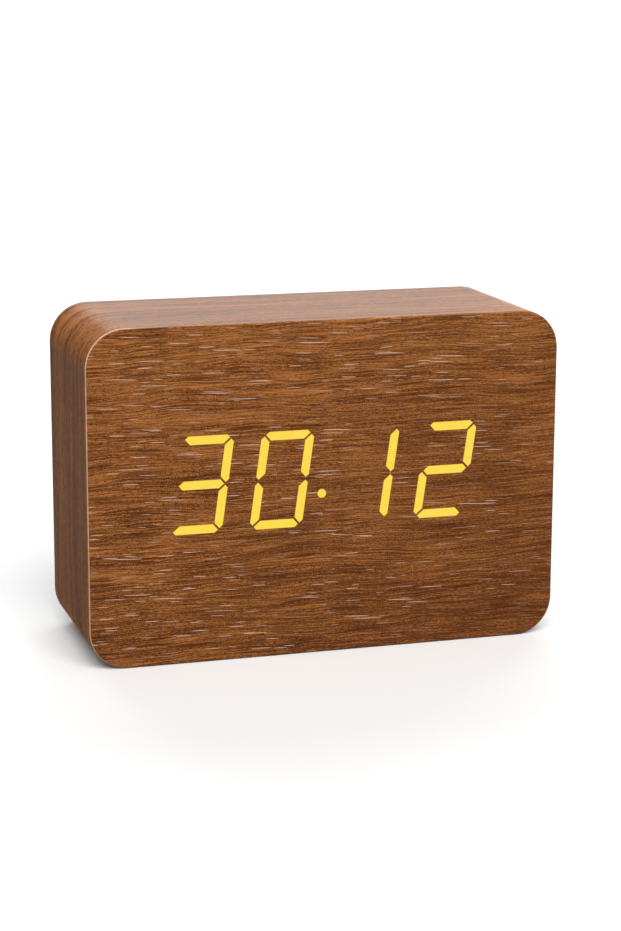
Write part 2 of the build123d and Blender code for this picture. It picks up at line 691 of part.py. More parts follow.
def rear_panel():
    """The moulded panel with the battery bay, the door's seat, the bosses and all its openings."""
    outline = case_outline(REBATE_INSET + PANEL_CLEARANCE)
    panel = bevel_back(plate(outline, PANEL_INNER, PANEL_OUTER), PANEL_BEVEL)
    walls_length = BAY_LENGTH + 2 * BAY_WALL
    walls_height = BAY_HEIGHT + 2 * BAY_WALL
    panel += block(BAY_X, BAY_Z, walls_length, walls_height, BAY_UNDERSIDE, DOOR_INNER)
    panel += latch_pocket(BAY_WALL, PANEL_INNER)
    panel -= block(BAY_X, BAY_Z, BAY_LENGTH, BAY_HEIGHT, BAY_BOTTOM, PANEL_OUTER)
    panel = panel - door_recess() - latch_pocket(0, PANEL_OUTER)
    for x in TAB_PLACES:
        panel -= tab_notch(x)
    for row in range(CELL_COUNT - 1):
        panel += bay_rib((CELL_PLACES[row] + CELL_PLACES[row + 1]) / 2)
    for x, z in tail_places().values():
        panel -= tail_slot(x, z)
    panel -= thumb_scoop()
    for slot in sound_slots():
        panel -= slot
    for z in BUTTON_PLACES.values():
        panel -= button_hole(z)
    panel -= rod(CONTROL_X, JACK_Z, JACK_COLLAR_RADIUS + JACK_COLLAR_CLEARANCE, PANEL_INNER, PANEL_OUTER)
    panel -= small_rod(SENSOR_X, SENSOR_Z, SENSOR_HOLE_RADIUS, PANEL_INNER, PANEL_OUTER)
    bite = CONTROL_BOARD_REAR + BOSS_BITE
    for z in CONTROL_SCREW_PLACES:
        panel += broad_rod(CONTROL_X, z, BOSS_RADIUS, CONTROL_BOARD_REAR, PANEL_INNER)
        panel -= small_rod(CONTROL_X, z, BOARD_SCREW_RADIUS, CONTROL_BOARD_REAR, bite)
    seat = PANEL_OUTER - PANEL_SCREW_SEAT
    for x, z in panel_screw_places():
        panel -= small_rod(x, z, PANEL_SCREW_RADIUS + SCREW_HOLE_CLEARANCE, PANEL_INNER, seat)
        panel -= rod(x, z, PANEL_SCREW_HEAD_RADIUS + SCREW_HOLE_CLEARANCE, seat, PANEL_OUTER)
    return panel


def door_recess():
    """The seat in the panel's outer face that the door lies in."""
    width = DOOR_LENGTH + 2 * DOOR_CLEARANCE
    height = DOOR_HEIGHT + 2 * DOOR_CLEARANCE
    z = (DOOR_LOW + DOOR_TOP) / 2
    outline = rounded_outline(BAY_X, z, width, height, DOOR_CORNER_RADIUS + DOOR_CLEARANCE)
    return plate(outline, DOOR_INNER, PANEL_OUTER + OVERRUN)


def latch_pocket(wall, back):
    """The pocket beside the bay that the door's latch dips into, or with a wall the box round it."""
    low = DOOR_TOP - LATCH_POCKET
    high = DOOR_TOP + DOOR_CLEARANCE + wall
    width = LATCH_WIDTH + 2 * (DOOR_CLEARANCE + wall)
    floor = DOOR_INNER - LATCH_DEPTH - LATCH_ROOM - wall
    return block(BAY_X, (low + high) / 2, width, high - low, floor, back)


def tab_notch(x):
    """The notch in the bay's lower wall where one of the door's tabs swings."""
    low = DOOR_LOW - DOOR_CLEARANCE
    width = TAB_WIDTH + 2 * DOOR_CLEARANCE
    depth = TAB_OUTER - TAB_THICKNESS - TAB_ROOM
    return block(x, (low + BAY_LOW) / 2, width, BAY_LOW - low, depth, DOOR_INNER)


def bay_rib(z):
    """A low ridge on the bay's floor that keeps two cells apart."""
    root = BAY_BOTTOM - BAY_FLOOR / 2
    crest = BAY_BOTTOM + BAY_RIB_HEIGHT
    low = z - BAY_RIB_HALF_WIDTH
    high = z + BAY_RIB_HALF_WIDTH
    corners = [(root, low), (BAY_BOTTOM, low), (crest, z), (BAY_BOTTOM, high), (root, high)]
    return bar(corners, BAY_LEFT + BAY_RIB_END_GAP, BAY_LENGTH - 2 * BAY_RIB_END_GAP)


def thumb_scoop():
    """A shallow trough above the latch for a thumb nail."""
    side = Plane.YZ.offset(BAY_X - LATCH_WIDTH / 2)
    centre = Pos(PANEL_OUTER + SCOOP_RADIUS - SCOOP_DEPTH, DOOR_TOP + DOOR_CLEARANCE)
    return extrude(side * centre * Circle(SCOOP_RADIUS), amount=LATCH_WIDTH, dir=(1, 0, 0))


def sound_slots():
    """The upright slots below the door that let the buzzer out."""
    low = CAVITY_INSET
    high = DOOR_LOW - DOOR_CLEARANCE
    length = (high - low) * SOUND_SLOT_LENGTH_SHARE
    slots = []
    for number in range(SOUND_SLOTS):
        x = BAY_X + (number - (SOUND_SLOTS - 1) / 2) * SOUND_SLOT_PITCH
        slots.append(block(x, (low + high) / 2, SOUND_SLOT_WIDTH, length, PANEL_INNER, PANEL_OUTER))
    return slots


def button_hole(z):
    """What a button's hole takes away, with a bevelled mouth."""
    radius = BUTTON_RADIUS + BUTTON_HOLE_CLEARANCE
    low = PANEL_OUTER - BUTTON_HOLE_BEVEL
    mouth = rod(CONTROL_X, z, radius + BUTTON_HOLE_BEVEL, low, PANEL_OUTER + OVERRUN)
    return rod(CONTROL_X, z, radius, PANEL_INNER, PANEL_OUTER) + bevel_front(mouth, BUTTON_HOLE_BEVEL)


def panel_screws():
    """Four screws with bevelled heads that hold the panel in the frame's corners."""
    seat = PANEL_OUTER - PANEL_SCREW_SEAT
    screws = []
    for x, z in panel_screw_places():
        head = broad_rod(x, z, PANEL_SCREW_HEAD_RADIUS, seat, seat + PANEL_SCREW_HEAD)
        shank = small_rod(x, z, PANEL_SCREW_RADIUS, seat - PANEL_SCREW_LENGTH, seat)
        screws.append(bevel_back(head, PANEL_SCREW_BEVEL) + shank)
    return screws


# Battery door


def battery_door():
    """The door: a plate with two hooked tabs at its foot and a sprung latch at its top."""
    z = (DOOR_LOW + DOOR_TOP) / 2
    outline = rounded_outline(BAY_X, z, DOOR_LENGTH, DOOR_HEIGHT, DOOR_CORNER_RADIUS)
    door = plate(outline, DOOR_INNER, PANEL_OUTER)
    for x in TAB_PLACES:
        door += door_tab(x)
    slot_low = DOOR_TOP - LATCH_GAP - LATCH_ARM - LATCH_SLOT
    slot_high = DOOR_TOP + OVERRUN
    slot_size = (LATCH_WIDTH + 2 * LATCH_SLOT, slot_high - slot_low)
    door -= block(BAY_X, (slot_low + slot_high) / 2, *slot_size, DOOR_INNER, PANEL_OUTER)
    door += door_latch()
    top_rib = DOOR_TOP - LATCH_POCKET - GRIP_RIB_PITCH
    for number in range(GRIP_RIBS):
        rib_z = top_rib - number * GRIP_RIB_PITCH
        crest = PANEL_OUTER + GRIP_RIB_HEIGHT
        door += block(BAY_X, rib_z, GRIP_RIB_LENGTH, GRIP_RIB_WIDTH, PANEL_OUTER, crest)
    return door


def door_tab(x):
    """One tab: a leg down from the door's foot and a tongue that reaches under the panel."""
    inner = TAB_OUTER - TAB_THICKNESS
    leg_high = DOOR_LOW + BAY_WALL
    leg = block(x, (DOOR_LOW + leg_high) / 2, TAB_WIDTH, leg_high - DOOR_LOW, inner, DOOR_INNER)
    tongue_low = DOOR_LOW - TAB_REACH
    return leg + block(x, (tongue_low + DOOR_LOW) / 2, TAB_WIDTH, DOOR_LOW - tongue_low, inner, TAB_OUTER)


def door_latch():
    """A U-shaped spring arm: down from the door, round, and up to the thumb edge.

    Its outer leg leans in, so that it clears the panel as the door swings on its tabs."""
    root = DOOR_TOP - LATCH_POCKET + LATCH_SLOT
    edge = DOOR_TOP - LATCH_GAP
    heel = DOOR_INNER - LATCH_DEPTH
    knee = DOOR_INNER - LATCH_NIB
    outside = [(PANEL_OUTER, edge), (knee, edge), (heel, edge - LATCH_LEAN)]
    outside += [(heel, root), (DOOR_INNER, root)]
    inside = [(DOOR_INNER, root + LATCH_ARM), (heel + LATCH_ARM, root + LATCH_ARM)]
    inside += [(heel + LATCH_ARM, edge - LATCH_LEAN - LATCH_ARM)]
    inside += [(knee, edge - LATCH_ARM), (PANEL_OUTER, edge - LATCH_ARM)]
    arm = bar(outside + inside, BAY_X - LATCH_WIDTH / 2, LATCH_WIDTH)
    return fillet(arm.edges().filter_by(Axis.X).group_by(Axis.Y)[0], LATCH_ROUND)


# Cells and contacts


def cell_heading(row):
    """The way a cell's nub points: the cells lie head to tail."""
    return 1 if row % 2 == 0 else -1


def battery_cell(row):
    """An AAA cell: a can and a nub."""
    heading = cell_heading(row)
    plate_inner = BAY_RIGHT - CONTACT_PLATE if heading > 0 else BAY_LEFT + CONTACT_PLATE
    tip = plate_inner - heading * CONTACT_DIMPLE
    can_length = CELL_LENGTH - NUB_HEIGHT
    base = tip - heading * CELL_LENGTH
    axis = Plane((base, CELL_Y, CELL_PLACES[row]), z_dir=(heading, 0, 0))
    can = extrude(axis * Circle(CELL_RADIUS), amount=can_length)
    nub = extrude(axis.offset(can_length) * RegularPolygon(NUB_RADIUS, BROAD_SIDES), amount=NUB_HEIGHT)
    return can + nub


def contact_groups():
    """The contact plates: on which side each lies, and which cells it joins."""
    groups = []
    for side in (-1, 1):
        first = 0 if side > 0 else 1
        rows = list(range(CELL_COUNT))
        if first:
            groups.append((side, rows[:1]))
        rows = rows[first:]
        while rows:
            groups.append((side, rows[:2]))
            rows = rows[2:]
    return groups


def contact_plates():
    """Thin plates against the bay's end walls, dimpled where a cell's nub presses."""
    top = DOOR_INNER - CONTACT_PLATE_DROP
    tails = tail_places()
    plates = []
    for side, rows in contact_groups():
        wall = BAY_RIGHT if side > 0 else BAY_LEFT
        x = wall - side * CONTACT_PLATE / 2
        low = CELL_PLACES[rows[0]]
        high = CELL_PLACES[rows[-1]]
        strip = block(x, (low + high) / 2, CONTACT_PLATE, high - low + CONTACT_PLATE_WIDTH, BAY_BOTTOM, top)
        for row in rows:
            if cell_heading(row) == side:
                face = Plane((wall - side * CONTACT_PLATE, CELL_Y, CELL_PLACES[row]), z_dir=(-side, 0, 0))
                strip += extrude(face * RegularPolygon(CONTACT_DIMPLE_RADIUS, BROAD_SIDES), amount=CONTACT_DIMPLE)
        if len(rows) == 1:
            tail_x, tail_z = tails[side]
            reach = BAY_UNDERSIDE - CONTACT_TAIL_REACH
            strip += block(tail_x, tail_z, CONTACT_PLATE, CONTACT_TAIL_WIDTH, reach, BAY_BOTTOM)
        plates.append(strip)
    return plates


def tail_places():
    """Where the two end plates' solder tails go through the bay's floor, by side."""
    places = {}
    for side, rows in contact_groups():
        if len(rows) == 1:
            wall = BAY_RIGHT if side > 0 else BAY_LEFT
            places[side] = (wall - side * CONTACT_PLATE / 2, CELL_PLACES[rows[0]])
    return places


def tail_slot(x, z):
    """The slot in the bay's floor for a solder tail."""
    width = CONTACT_PLATE + 2 * SLOT_CLEARANCE
    height = CONTACT_TAIL_WIDTH + 2 * SLOT_CLEARANCE
    return block(x, z, width, height, BAY_UNDERSIDE, BAY_BOTTOM)


def spring_point(row, turns):
    """A point of a cell's conical spring and its direction there, after so many turns from the plate."""
    heading = cell_heading(row)
    plate_face = BAY_LEFT + CONTACT_PLATE if heading > 0 else BAY_RIGHT - CONTACT_PLATE
    run = (SPRING_LENGTH - 2 * SPRING_WIRE_RADIUS) / SPRING_TURNS
    taper = (SPRING_NARROW_RADIUS - SPRING_WIDE_RADIUS) / SPRING_TURNS
    radius = SPRING_WIDE_RADIUS + taper * turns
    angle = 2 * pi * turns
    x = plate_face + heading * (SPRING_WIRE_RADIUS + run * turns)
    place = Vector(x, CELL_Y + radius * cos(angle), CELL_PLACES[row] + radius * sin(angle))
    across = taper * cos(angle) - 2 * pi * radius * sin(angle)
    up = taper * sin(angle) + 2 * pi * radius * cos(angle)
    return place, Vector(heading * run, across, up).normalized()


def contact_spring(row):
    """A conical spring, each half turn made of two arcs that share their direction where they meet."""
    arcs = []
    steps = round(2 * SPRING_TURNS)
    for step in range(steps):
        start, start_way = spring_point(row, step * SPRING_TURNS / steps)
        end, end_way = spring_point(row, (step + 1) * SPRING_TURNS / steps)
        chord = end - start
        ways = start_way + end_way
        spread = 2 * (1 - start_way.dot(end_way))
        reach = (sqrt(chord.dot(ways) ** 2 + spread * chord.dot(chord)) - chord.dot(ways)) / spread
        joint = (start + end + (start_way - end_way) * reach) * 0.5
        arcs.append(TangentArc(start, joint, tangent=start_way))
        arcs.append(TangentArc(joint, end, tangent=(end - end_way * reach) - (start + start_way * reach)))
    start, start_way = spring_point(row, 0)
    section = Plane(start, z_dir=start_way) * RegularPolygon(SPRING_WIRE_RADIUS, SPRING_WIRE_SIDES)
    return sweep(section, path=Wire(arcs))


def least_spring_gap():
    """The least gap between a spring's wire and itself a full turn on, from points along its middle line."""
    gaps = []
    per_turn = 24
    for number in range(round((SPRING_TURNS - 1) * per_turn) + 1):
        place = spring_point(0, number / per_turn)[0]
        for other in range(number + per_turn // 2, round(SPRING_TURNS * per_turn) + 1):
            gaps.append((place - spring_point(0, other / per_turn)[0]).length)
    return min(gaps) - 2 * SPRING_WIRE_RADIUS


def battery_lead(side):
    """An insulated lead from a solder tail, under the bay and up to the control board."""
    tail_x, z = tail_places()[side]
    start = tail_x - CONTACT_PLATE / 2
    end = CONTROL_X + CONTROL_BOARD_WIDTH / 2 - LEAD_BOARD_INSET
    route = [(start, LEAD_Y, z), (end, LEAD_Y, z), (end, CONTROL_BOARD_FRONT, z)]
    path = FilletPolyline(*route, radius=LEAD_BEND_RADIUS)
    return sweep(Plane(route[0], z_dir=(-1, 0, 0)) * RegularPolygon(LEAD_RADIUS, LEAD_SIDES), path=path)


# Control board


def control_board():
    """The small circuit board behind the buttons."""
    size = (CONTROL_BOARD_WIDTH, CONTROL_BOARD_HEIGHT)
    outline = rounded_outline(CONTROL_X, CONTROL_Z, *size, BOARD_CORNER_RADIUS)
    board = plate(outline, CONTROL_BOARD_FRONT, CONTROL_BOARD_REAR)
    hole = BOARD_SCREW_RADIUS + SCREW_HOLE_CLEARANCE
    for z in CONTROL_SCREW_PLACES:
        board -= small_rod(CONTROL_X, z, hole, CONTROL_BOARD_FRONT, CONTROL_BOARD_REAR)
    return board


def control_board_screws():
    """Two screws from the front into the panel's bosses."""
    tip = CONTROL_BOARD_REAR + BOARD_SCREW_BITE
    head_top = CONTROL_BOARD_FRONT - BOARD_SCREW_HEAD
    return [board_screw(CONTROL_X, z, CONTROL_BOARD_FRONT, tip, head_top) for z in CONTROL_SCREW_PLACES]


def switch_housing(z):
    """A push switch's square housing with its square chamber and a round hole for the plunger."""
    top = CONTROL_BOARD_REAR + SWITCH_BODY
    floor = CONTROL_BOARD_REAR + SWITCH_BASE
    housing = block(CONTROL_X, z, SWITCH_WIDTH, SWITCH_WIDTH, CONTROL_BOARD_REAR, top)
    housing -= block(CONTROL_X, z, SWITCH_CHAMBER_WIDTH, SWITCH_CHAMBER_WIDTH, floor, top - SWITCH_LID)
    return housing - small_rod(CONTROL_X, z, PLUNGER_RADIUS + PLUNGER_CLEARANCE, top - SWITCH_LID, top)


def switch_plunger(z):
    """A switch's plunger, held in by a flange under the housing's lid."""
    lid = CONTROL_BOARD_REAR + SWITCH_BODY - SWITCH_LID
    radius = SWITCH_CHAMBER_WIDTH / 2 - PLUNGER_CLEARANCE
    flange = small_rod(CONTROL_X, z, radius, lid - PLUNGER_FLANGE, lid)
    return flange + small_rod(CONTROL_X, z, PLUNGER_RADIUS, lid, PLUNGER_TOP)


def switch_dome(z):
    """The snap disc on a chamber's floor, low enough for the pressed plunger."""
    floor = CONTROL_BOARD_REAR + SWITCH_BASE
    plunger = CONTROL_BOARD_REAR + SWITCH_BODY - SWITCH_LID - PLUNGER_FLANGE
    top = plunger - BUTTON_TRAVEL - SWITCH_DOME_GAP
    disc = small_rod(CONTROL_X, z, SWITCH_CHAMBER_WIDTH / 2 - PLUNGER_CLEARANCE, floor, top)
    return bevel_back(disc, (top - floor) * SWITCH_DOME_BEVEL_SHARE)


def button_cap(z):
    """A button: a bevelled cap, the flange that keeps it in and the stem that presses the plunger."""
    tip = PANEL_OUTER + BUTTON_PROUD
    cap = bevel_back(rod(CONTROL_X, z, BUTTON_RADIUS, BUTTON_FLANGE_REAR, tip), BUTTON_BEVEL)
    cap += broad_rod(CONTROL_X, z, BUTTON_FLANGE_RADIUS, BUTTON_FLANGE_FRONT, BUTTON_FLANGE_REAR)
    return cap + small_rod(CONTROL_X, z, BUTTON_STEM_RADIUS, PLUNGER_TOP, BUTTON_FLANGE_FRONT)


def sound_sensor():
    """The small microphone capsule behind its hole."""
    top = CONTROL_BOARD_REAR + SENSOR_HEIGHT
    return broad_rod(SENSOR_X, SENSOR_Z, SENSOR_RADIUS, CONTROL_BOARD_REAR, top)


def power_jack():
    """The upright power jack: a block on the board and a collar through the panel, bored for the plug."""
    mouth = PANEL_OUTER - JACK_COLLAR_DROP
    floor = CONTROL_BOARD_REAR + JACK_FLOOR
    jack = block(CONTROL_X, JACK_Z, JACK_WIDTH, JACK_HEIGHT, CONTROL_BOARD_REAR, PANEL_INNER)
    jack += rod(CONTROL_X, JACK_Z, JACK_COLLAR_RADIUS, PANEL_INNER, mouth)
    jack -= rod(CONTROL_X, JACK_Z, JACK_BORE_RADIUS, floor, mouth)
    return jack - small_rod(CONTROL_X, JACK_Z, JACK_PIN_RADIUS, CONTROL_BOARD_REAR, floor)


def jack_pin():
    """The jack's centre pin."""
    tip = PANEL_OUTER - JACK_COLLAR_DROP - JACK_PIN_DROP
    return small_rod(CONTROL_X, JACK_Z, JACK_PIN_RADIUS, CONTROL_BOARD_REAR, tip)


def clock():
    """Every piece of the clock by its name."""
    lit = lit_segments()
    cells = display_cells()
    pieces = {
        "case_frame": case_frame(),
        "side_foil": side_foil(),
        "front_board": front_board(),
        "front_foil": front_foil(lit),
        "lit_segments": group(lit),
        "display_reflector": display_reflector(cells),
        "segment_lenses": group(segment_lenses(cells)),
        "led_chips": group(led_chips()),
        "display_board": display_board(),
        "board_spacers": group(board_spacers()),
        "display_board_screws": group(display_board_screws()),
        "controller_chip": controller_chip(),
        "controller_leads": group(controller_leads()),
        "timing_crystal": timing_crystal(),
        "filter_capacitor": filter_capacitor(),
        "buzzer": buzzer(),
        "segment_resistors": group(segment_resistors()),
        "digit_transistors": group(digit_transistors()),
        "display_connector": display_connector(),
        "control_connector": control_connector(),
        "ribbon_cable": ribbon_cable(),
        "rear_panel": rear_panel(),
        "panel_screws": group(panel_screws()),
        "battery_door": battery_door(),
        "contact_plates": group(contact_plates()),
        "contact_springs": group([contact_spring(row) for row in range(CELL_COUNT)]),
        "negative_lead": battery_lead(-1),
        "positive_lead": battery_lead(1),
        "control_board": control_board(),
        "control_board_screws": group(control_board_screws()),
        "switch_housings": group([switch_housing(z) for z in BUTTON_PLACES.values()]),
        "switch_domes": group([switch_dome(z) for z in BUTTON_PLACES.values()]),
        "sound_sensor": sound_sensor(),
        "power_jack": power_jack(),
        "jack_pin": jack_pin(),
    }
    for row in range(CELL_COUNT):
        pieces[f"battery_cell_{row + 1}"] = battery_cell(row)
    for name, z in BUTTON_PLACES.items():
        pieces[f"{name}_button"] = button_cap(z)
        pieces[f"{name}_plunger"] = switch_plunger(z)
    return pieces


print(f"least gap between a spring's turns: {least_spring_gap():.2f} mm")
os.makedirs("parts", exist_ok=True)
for name, shape in clock().items():
    export_step(shape, f"parts/{name}.step")
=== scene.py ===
from math import pi, radians

import bmesh
import bpy
import numpy as np
from mathutils import Matrix, Vector


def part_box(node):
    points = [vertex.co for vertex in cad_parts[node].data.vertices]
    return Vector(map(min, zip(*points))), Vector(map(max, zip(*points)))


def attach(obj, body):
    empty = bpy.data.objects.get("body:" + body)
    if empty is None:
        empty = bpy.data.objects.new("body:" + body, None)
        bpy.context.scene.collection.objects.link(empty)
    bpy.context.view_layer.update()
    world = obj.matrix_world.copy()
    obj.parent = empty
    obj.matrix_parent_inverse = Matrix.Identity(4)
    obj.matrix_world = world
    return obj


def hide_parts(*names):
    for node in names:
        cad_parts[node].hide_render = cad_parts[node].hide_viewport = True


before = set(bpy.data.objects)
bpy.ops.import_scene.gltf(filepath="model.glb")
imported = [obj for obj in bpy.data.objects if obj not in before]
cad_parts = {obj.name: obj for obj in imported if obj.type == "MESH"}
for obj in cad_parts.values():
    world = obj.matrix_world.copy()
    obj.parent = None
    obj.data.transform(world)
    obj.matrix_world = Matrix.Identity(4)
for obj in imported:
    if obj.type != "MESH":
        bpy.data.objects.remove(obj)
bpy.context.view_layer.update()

# The looks of a small wood-covered desk clock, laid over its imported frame. Shapes are in metres, written
# as a number times MM. The patterns of the finishes are worked out in millimetres of the same frame.

MM = 0.001

# The case's outline, in millimetres for the patterns: it stands on z = 0, about the plane x = 0
HALF_WIDTH = 50.0
HALF_HEIGHT = 34.85
CORNER = 8.0

# Which way each cell's nub points along X, from the lowest cell up
CELL_HEADINGS = (1, -1, 1)


# Shader sums


class Wire:
    """A shader value. Sums on it add Math nodes to the shading that it belongs to."""

    def __init__(self, shading, socket):
        self.shading = shading
        self.socket = socket

    def sum(self, operation, *values):
        return self.shading.node("ShaderNodeMath", {"operation": operation}, dict(enumerate(values)))

    def __add__(self, other):
        return self.sum("ADD", self, other)

    def __radd__(self, other):
        return self.sum("ADD", other, self)

    def __sub__(self, other):
        return self.sum("SUBTRACT", self, other)

    def __rsub__(self, other):
        return self.sum("SUBTRACT", other, self)

    def __mul__(self, other):
        return self.sum("MULTIPLY", self, other)

    def __rmul__(self, other):
        return self.sum("MULTIPLY", other, self)

    def __truediv__(self, other):
        return self.sum("DIVIDE", self, other)

    def __rtruediv__(self, other):
        return self.sum("DIVIDE", other, self)

    def __abs__(self):
        return self.sum("ABSOLUTE", self)

    def least(self, other):
        return self.sum("MINIMUM", self, other)

    def most(self, other):
        return self.sum("MAXIMUM", self, other)

    def root(self):
        return self.sum("SQRT", self)

    def whole(self):
        return self.sum("FLOOR", self)

    def wave(self):
        return self.sum("SINE", self)

    def step(self, low, high, start=0.0, end=1.0):
        """Eases from start to end as the value goes from low to high."""
        inputs = {"Value": self, "From Min": low, "From Max": high, "To Min": start, "To Max": end}
        return self.shading.node("ShaderNodeMapRange", {"interpolation_type": "SMOOTHSTEP"}, inputs)


def shade(red, green, blue):
    """A colour written as it looks on a screen, from 0 to 255, made linear."""
    levels = np.array([red, green, blue]) / 255
    linear = np.where(levels <= 0.04045, levels / 12.92, ((levels + 0.055) / 1.055) ** 2.4)
    return (*linear.tolist(), 1.0)


class Shading:
    """A node tree in the making, with the one way to add a node to it."""

    def __init__(self, tree):
        self.tree = tree

    def add(self, kind, settings, inputs):
        """Adds a node: first its settings, then the values or links of its sockets."""
        made = self.tree.nodes.new(kind)
        for name, value in settings.items():
            setattr(made, name, value)
        self.feed(made, inputs)
        return made

    def feed(self, made, inputs):
        """Links each shader value to its socket, and sets a plain value on it."""
        for name, value in inputs.items():
            if isinstance(value, Wire):
                self.tree.links.new(value.socket, made.inputs[name])
            else:
                made.inputs[name].default_value = value

    def node(self, kind, settings, inputs, output=0):
        """Adds a node and gives one of its outputs."""
        return Wire(self, self.add(kind, settings, inputs).outputs[output])

    def nodes(self, kind, inputs, outputs):
        """Adds a node and gives several of its outputs."""
        made = self.add(kind, {}, inputs)
        return [Wire(self, made.outputs[output]) for output in outputs]


class Finish(Shading):
    """A material on one Principled shader, with the ways to put its pattern together."""

    def __init__(self, name, color=(0.5, 0.5, 0.5, 1.0), rough=0.5, **constants):
        self.material = bpy.data.materials.new(name)
        self.material.use_nodes = True
        super().__init__(self.material.node_tree)
        self.tree.nodes.clear()
        self.shader = self.add("ShaderNodeBsdfPrincipled", {}, {})
        self.add("ShaderNodeOutputMaterial", {}, {"Surface": Wire(self, self.shader.outputs[0])})
        self.set(Base_Color=color, Roughness=rough, **constants)

    def set(self, **inputs):
        """Sets the shader's sockets, named with underscores for spaces."""
        self.feed(self.shader, {name.replace("_", " "): value for name, value in inputs.items()})

    def place(self):
        """Where the surface lies in the clock's frame, in millimetres, as x, y and z."""
        place = self.node("ShaderNodeTexCoord", {}, {}, "Object")
        return [part / MM for part in self.nodes("ShaderNodeSeparateXYZ", {0: place}, (0, 1, 2))]

    def vector(self, x, y, z):
        """Three values as one."""
        return self.node("ShaderNodeCombineXYZ", {}, {0: x, 1: y, 2: z})

    def noise(self, x, y, z, detail=1.0, distortion=0.0):
        """Soft noise from 0 to 1. A place over a length gives marks of that length that way, and a bare
        number picks one slice of the noise."""
        inputs = {"Vector": self.vector(x, y, z), "Scale": 1.0, "Detail": detail, "Distortion": distortion}
        return self.node("ShaderNodeTexNoise", {}, inputs, "Fac")

    def cells(self, x, z, output="Distance"):
        """The distance to the nearest of scattered points, or that point's own random colour."""
        settings = {"voronoi_dimensions": "2D"}
        inputs = {"Vector": self.vector(x, z, 0.0), "Scale": 1.0, "Randomness": 1.0}
        return self.node("ShaderNodeTexVoronoi", settings, inputs, output)

    def mark(self, name):
        """The value that the piece's points carry under this name."""
        return self.node("ShaderNodeAttribute", {"attribute_name": name}, {}, "Fac")

    def channels(self, color):
        """A colour's red, green and blue."""
        return self.nodes("ShaderNodeSeparateColor", {0: color}, (0, 1, 2))

    def mix(self, share, first, second):
        """Goes from the first colour to the second as the share goes from 0 to 1."""
        return self.node("ShaderNodeMix", {"data_type": "RGBA"}, {0: share, 6: first, 7: second}, 2)

    def relief(self, height, depth, strength):
        """Bumps the surface by a height, of which 1 stands for the depth in millimetres."""
        inputs = {"Height": height, "Distance": depth * MM, "Strength": strength}
        self.set(Normal=self.node("ShaderNodeBump", {}, inputs))


def wear(node, finish):
    """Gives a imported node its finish."""
    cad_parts[node].material_slots[0].material = finish.material


# Wood foil


def past_core(x, z):
    """How far a place lies past the box between the case's corner arcs, to the side and up or down."""
    return abs(x) - (HALF_WIDTH - CORNER), abs(z - HALF_HEIGHT) - (HALF_HEIGHT - CORNER)


def edge_depth(x, z):
    """How far inside the case's outline a place lies: the corner radius less the way from that box."""
    side, up = past_core(x, z)
    beyond = [side.most(0.0), up.most(0.0)]
    outside = (beyond[0] * beyond[0] + beyond[1] * beyond[1]).root()
    return CORNER - outside - side.most(up).least(0.0)


def front_foil_finish():
    """Horizontal walnut print: a broad drift of tone, wavy bands, dark fibres, grit and pale pores.

    It carries painted light and shade: it is starker and lighter towards the top left and darker towards
    the lower right. Its cut edge is pale, partly from wear and partly a painted highlight that is
    strongest towards the left."""
    foil = Finish("front_foil", rough=0.45, Specular_IOR_Level=0.08)
    x, _, z = foil.place()
    rise = z - HALF_HEIGHT
    drift = foil.noise(x / 34.0, 0.0, z / 15.0, 1.0)
    ripple = foil.noise(x / 9.0, 3.0, z / 3.0, 1.0)
    flow = z + (drift - 0.5) * 4.0 + (ripple - 0.5) * 0.9
    bands = foil.noise(x / 42.0, 7.0, flow / 2.6, 3.0)
    streaks = foil.noise(x / 18.0, 11.0, flow / 0.4, 2.0)
    grit = foil.noise(x / 0.9, 29.0, z / 0.2, 1.0)
    speck = foil.noise(x / 0.24, 43.0, z / 0.2, 1.0)
    tone = (bands - 0.5) * 0.8 + (streaks - 0.5) * 1.3 + (grit - 0.5) * 1.3 + (speck - 0.5) * 1.8
    # Painted light and shade: the print is lighter and starker towards the top left and darker towards the
    # lower right
    painted_light_contrast = 1.0 - x * 0.0045 + rise * 0.004
    tone = tone * painted_light_contrast + 0.53 - x * 0.002 + rise * 0.0036
    color = foil.mix(tone.step(0.0, 1.0), shade(86, 42, 17), shade(188, 119, 62))

    long = foil.noise(x / 11.0, 17.0, flow / 0.22, 1.0).step(0.49, 0.57)
    short = foil.noise(x / 4.5, 19.0, flow / 0.15, 1.0).step(0.51, 0.6)
    patch = foil.noise(x / 15.0, 23.0, flow / 3.5, 1.0).step(0.3, 0.6, 0.55, 1.0)
    dark = long.most(short * 0.75) * patch * (0.95 - x * 0.0015)
    color = foil.mix(dark * 0.8, color, shade(66, 30, 12))

    slant = z + (ripple - 0.5) * 0.4 + x * 0.03
    pale = pores(foil, (x + slant * 7.3) / 32.0, slant / 0.62, 0.48, 0.07)
    pale = pale.most(pores(foil, (x - slant * 5.7) / 14.0 + 41.0, slant / 0.5 + 9.0, 0.4, 0.08))
    thin = foil.noise(x / 24.0, 31.0, z / 9.0, 1.0) - x * 0.0024 + rise * 0.0012
    pale = pale * thin.step(0.38, 0.54, 0.2, 1.0)
    color = foil.mix(pale, color, shade(240, 204, 184))

    # The cut edge is painted pale: partly wear of the print's edge, and partly a painted highlight,
    # strongest towards the left
    cut = edge_depth(x, z).step(0.22, 0.14)
    wear_and_highlight = foil.noise(x / 3.0, 37.0, z / 3.0, 2.0).step(0.3, 0.7, 0.7, 1.0)
    wear_and_highlight = wear_and_highlight * x.step(-38.0, -43.0, 0.2, 0.85)
    color = foil.mix(cut * wear_and_highlight, color, shade(236, 194, 154))
    foil.set(Base_Color=color, Roughness=0.44 + grit * 0.1 + dark * 0.1 - pale * 0.12)
    foil.relief(grit * 0.35 - dark * 0.8 - pale, 0.04, 0.5)
    return foil


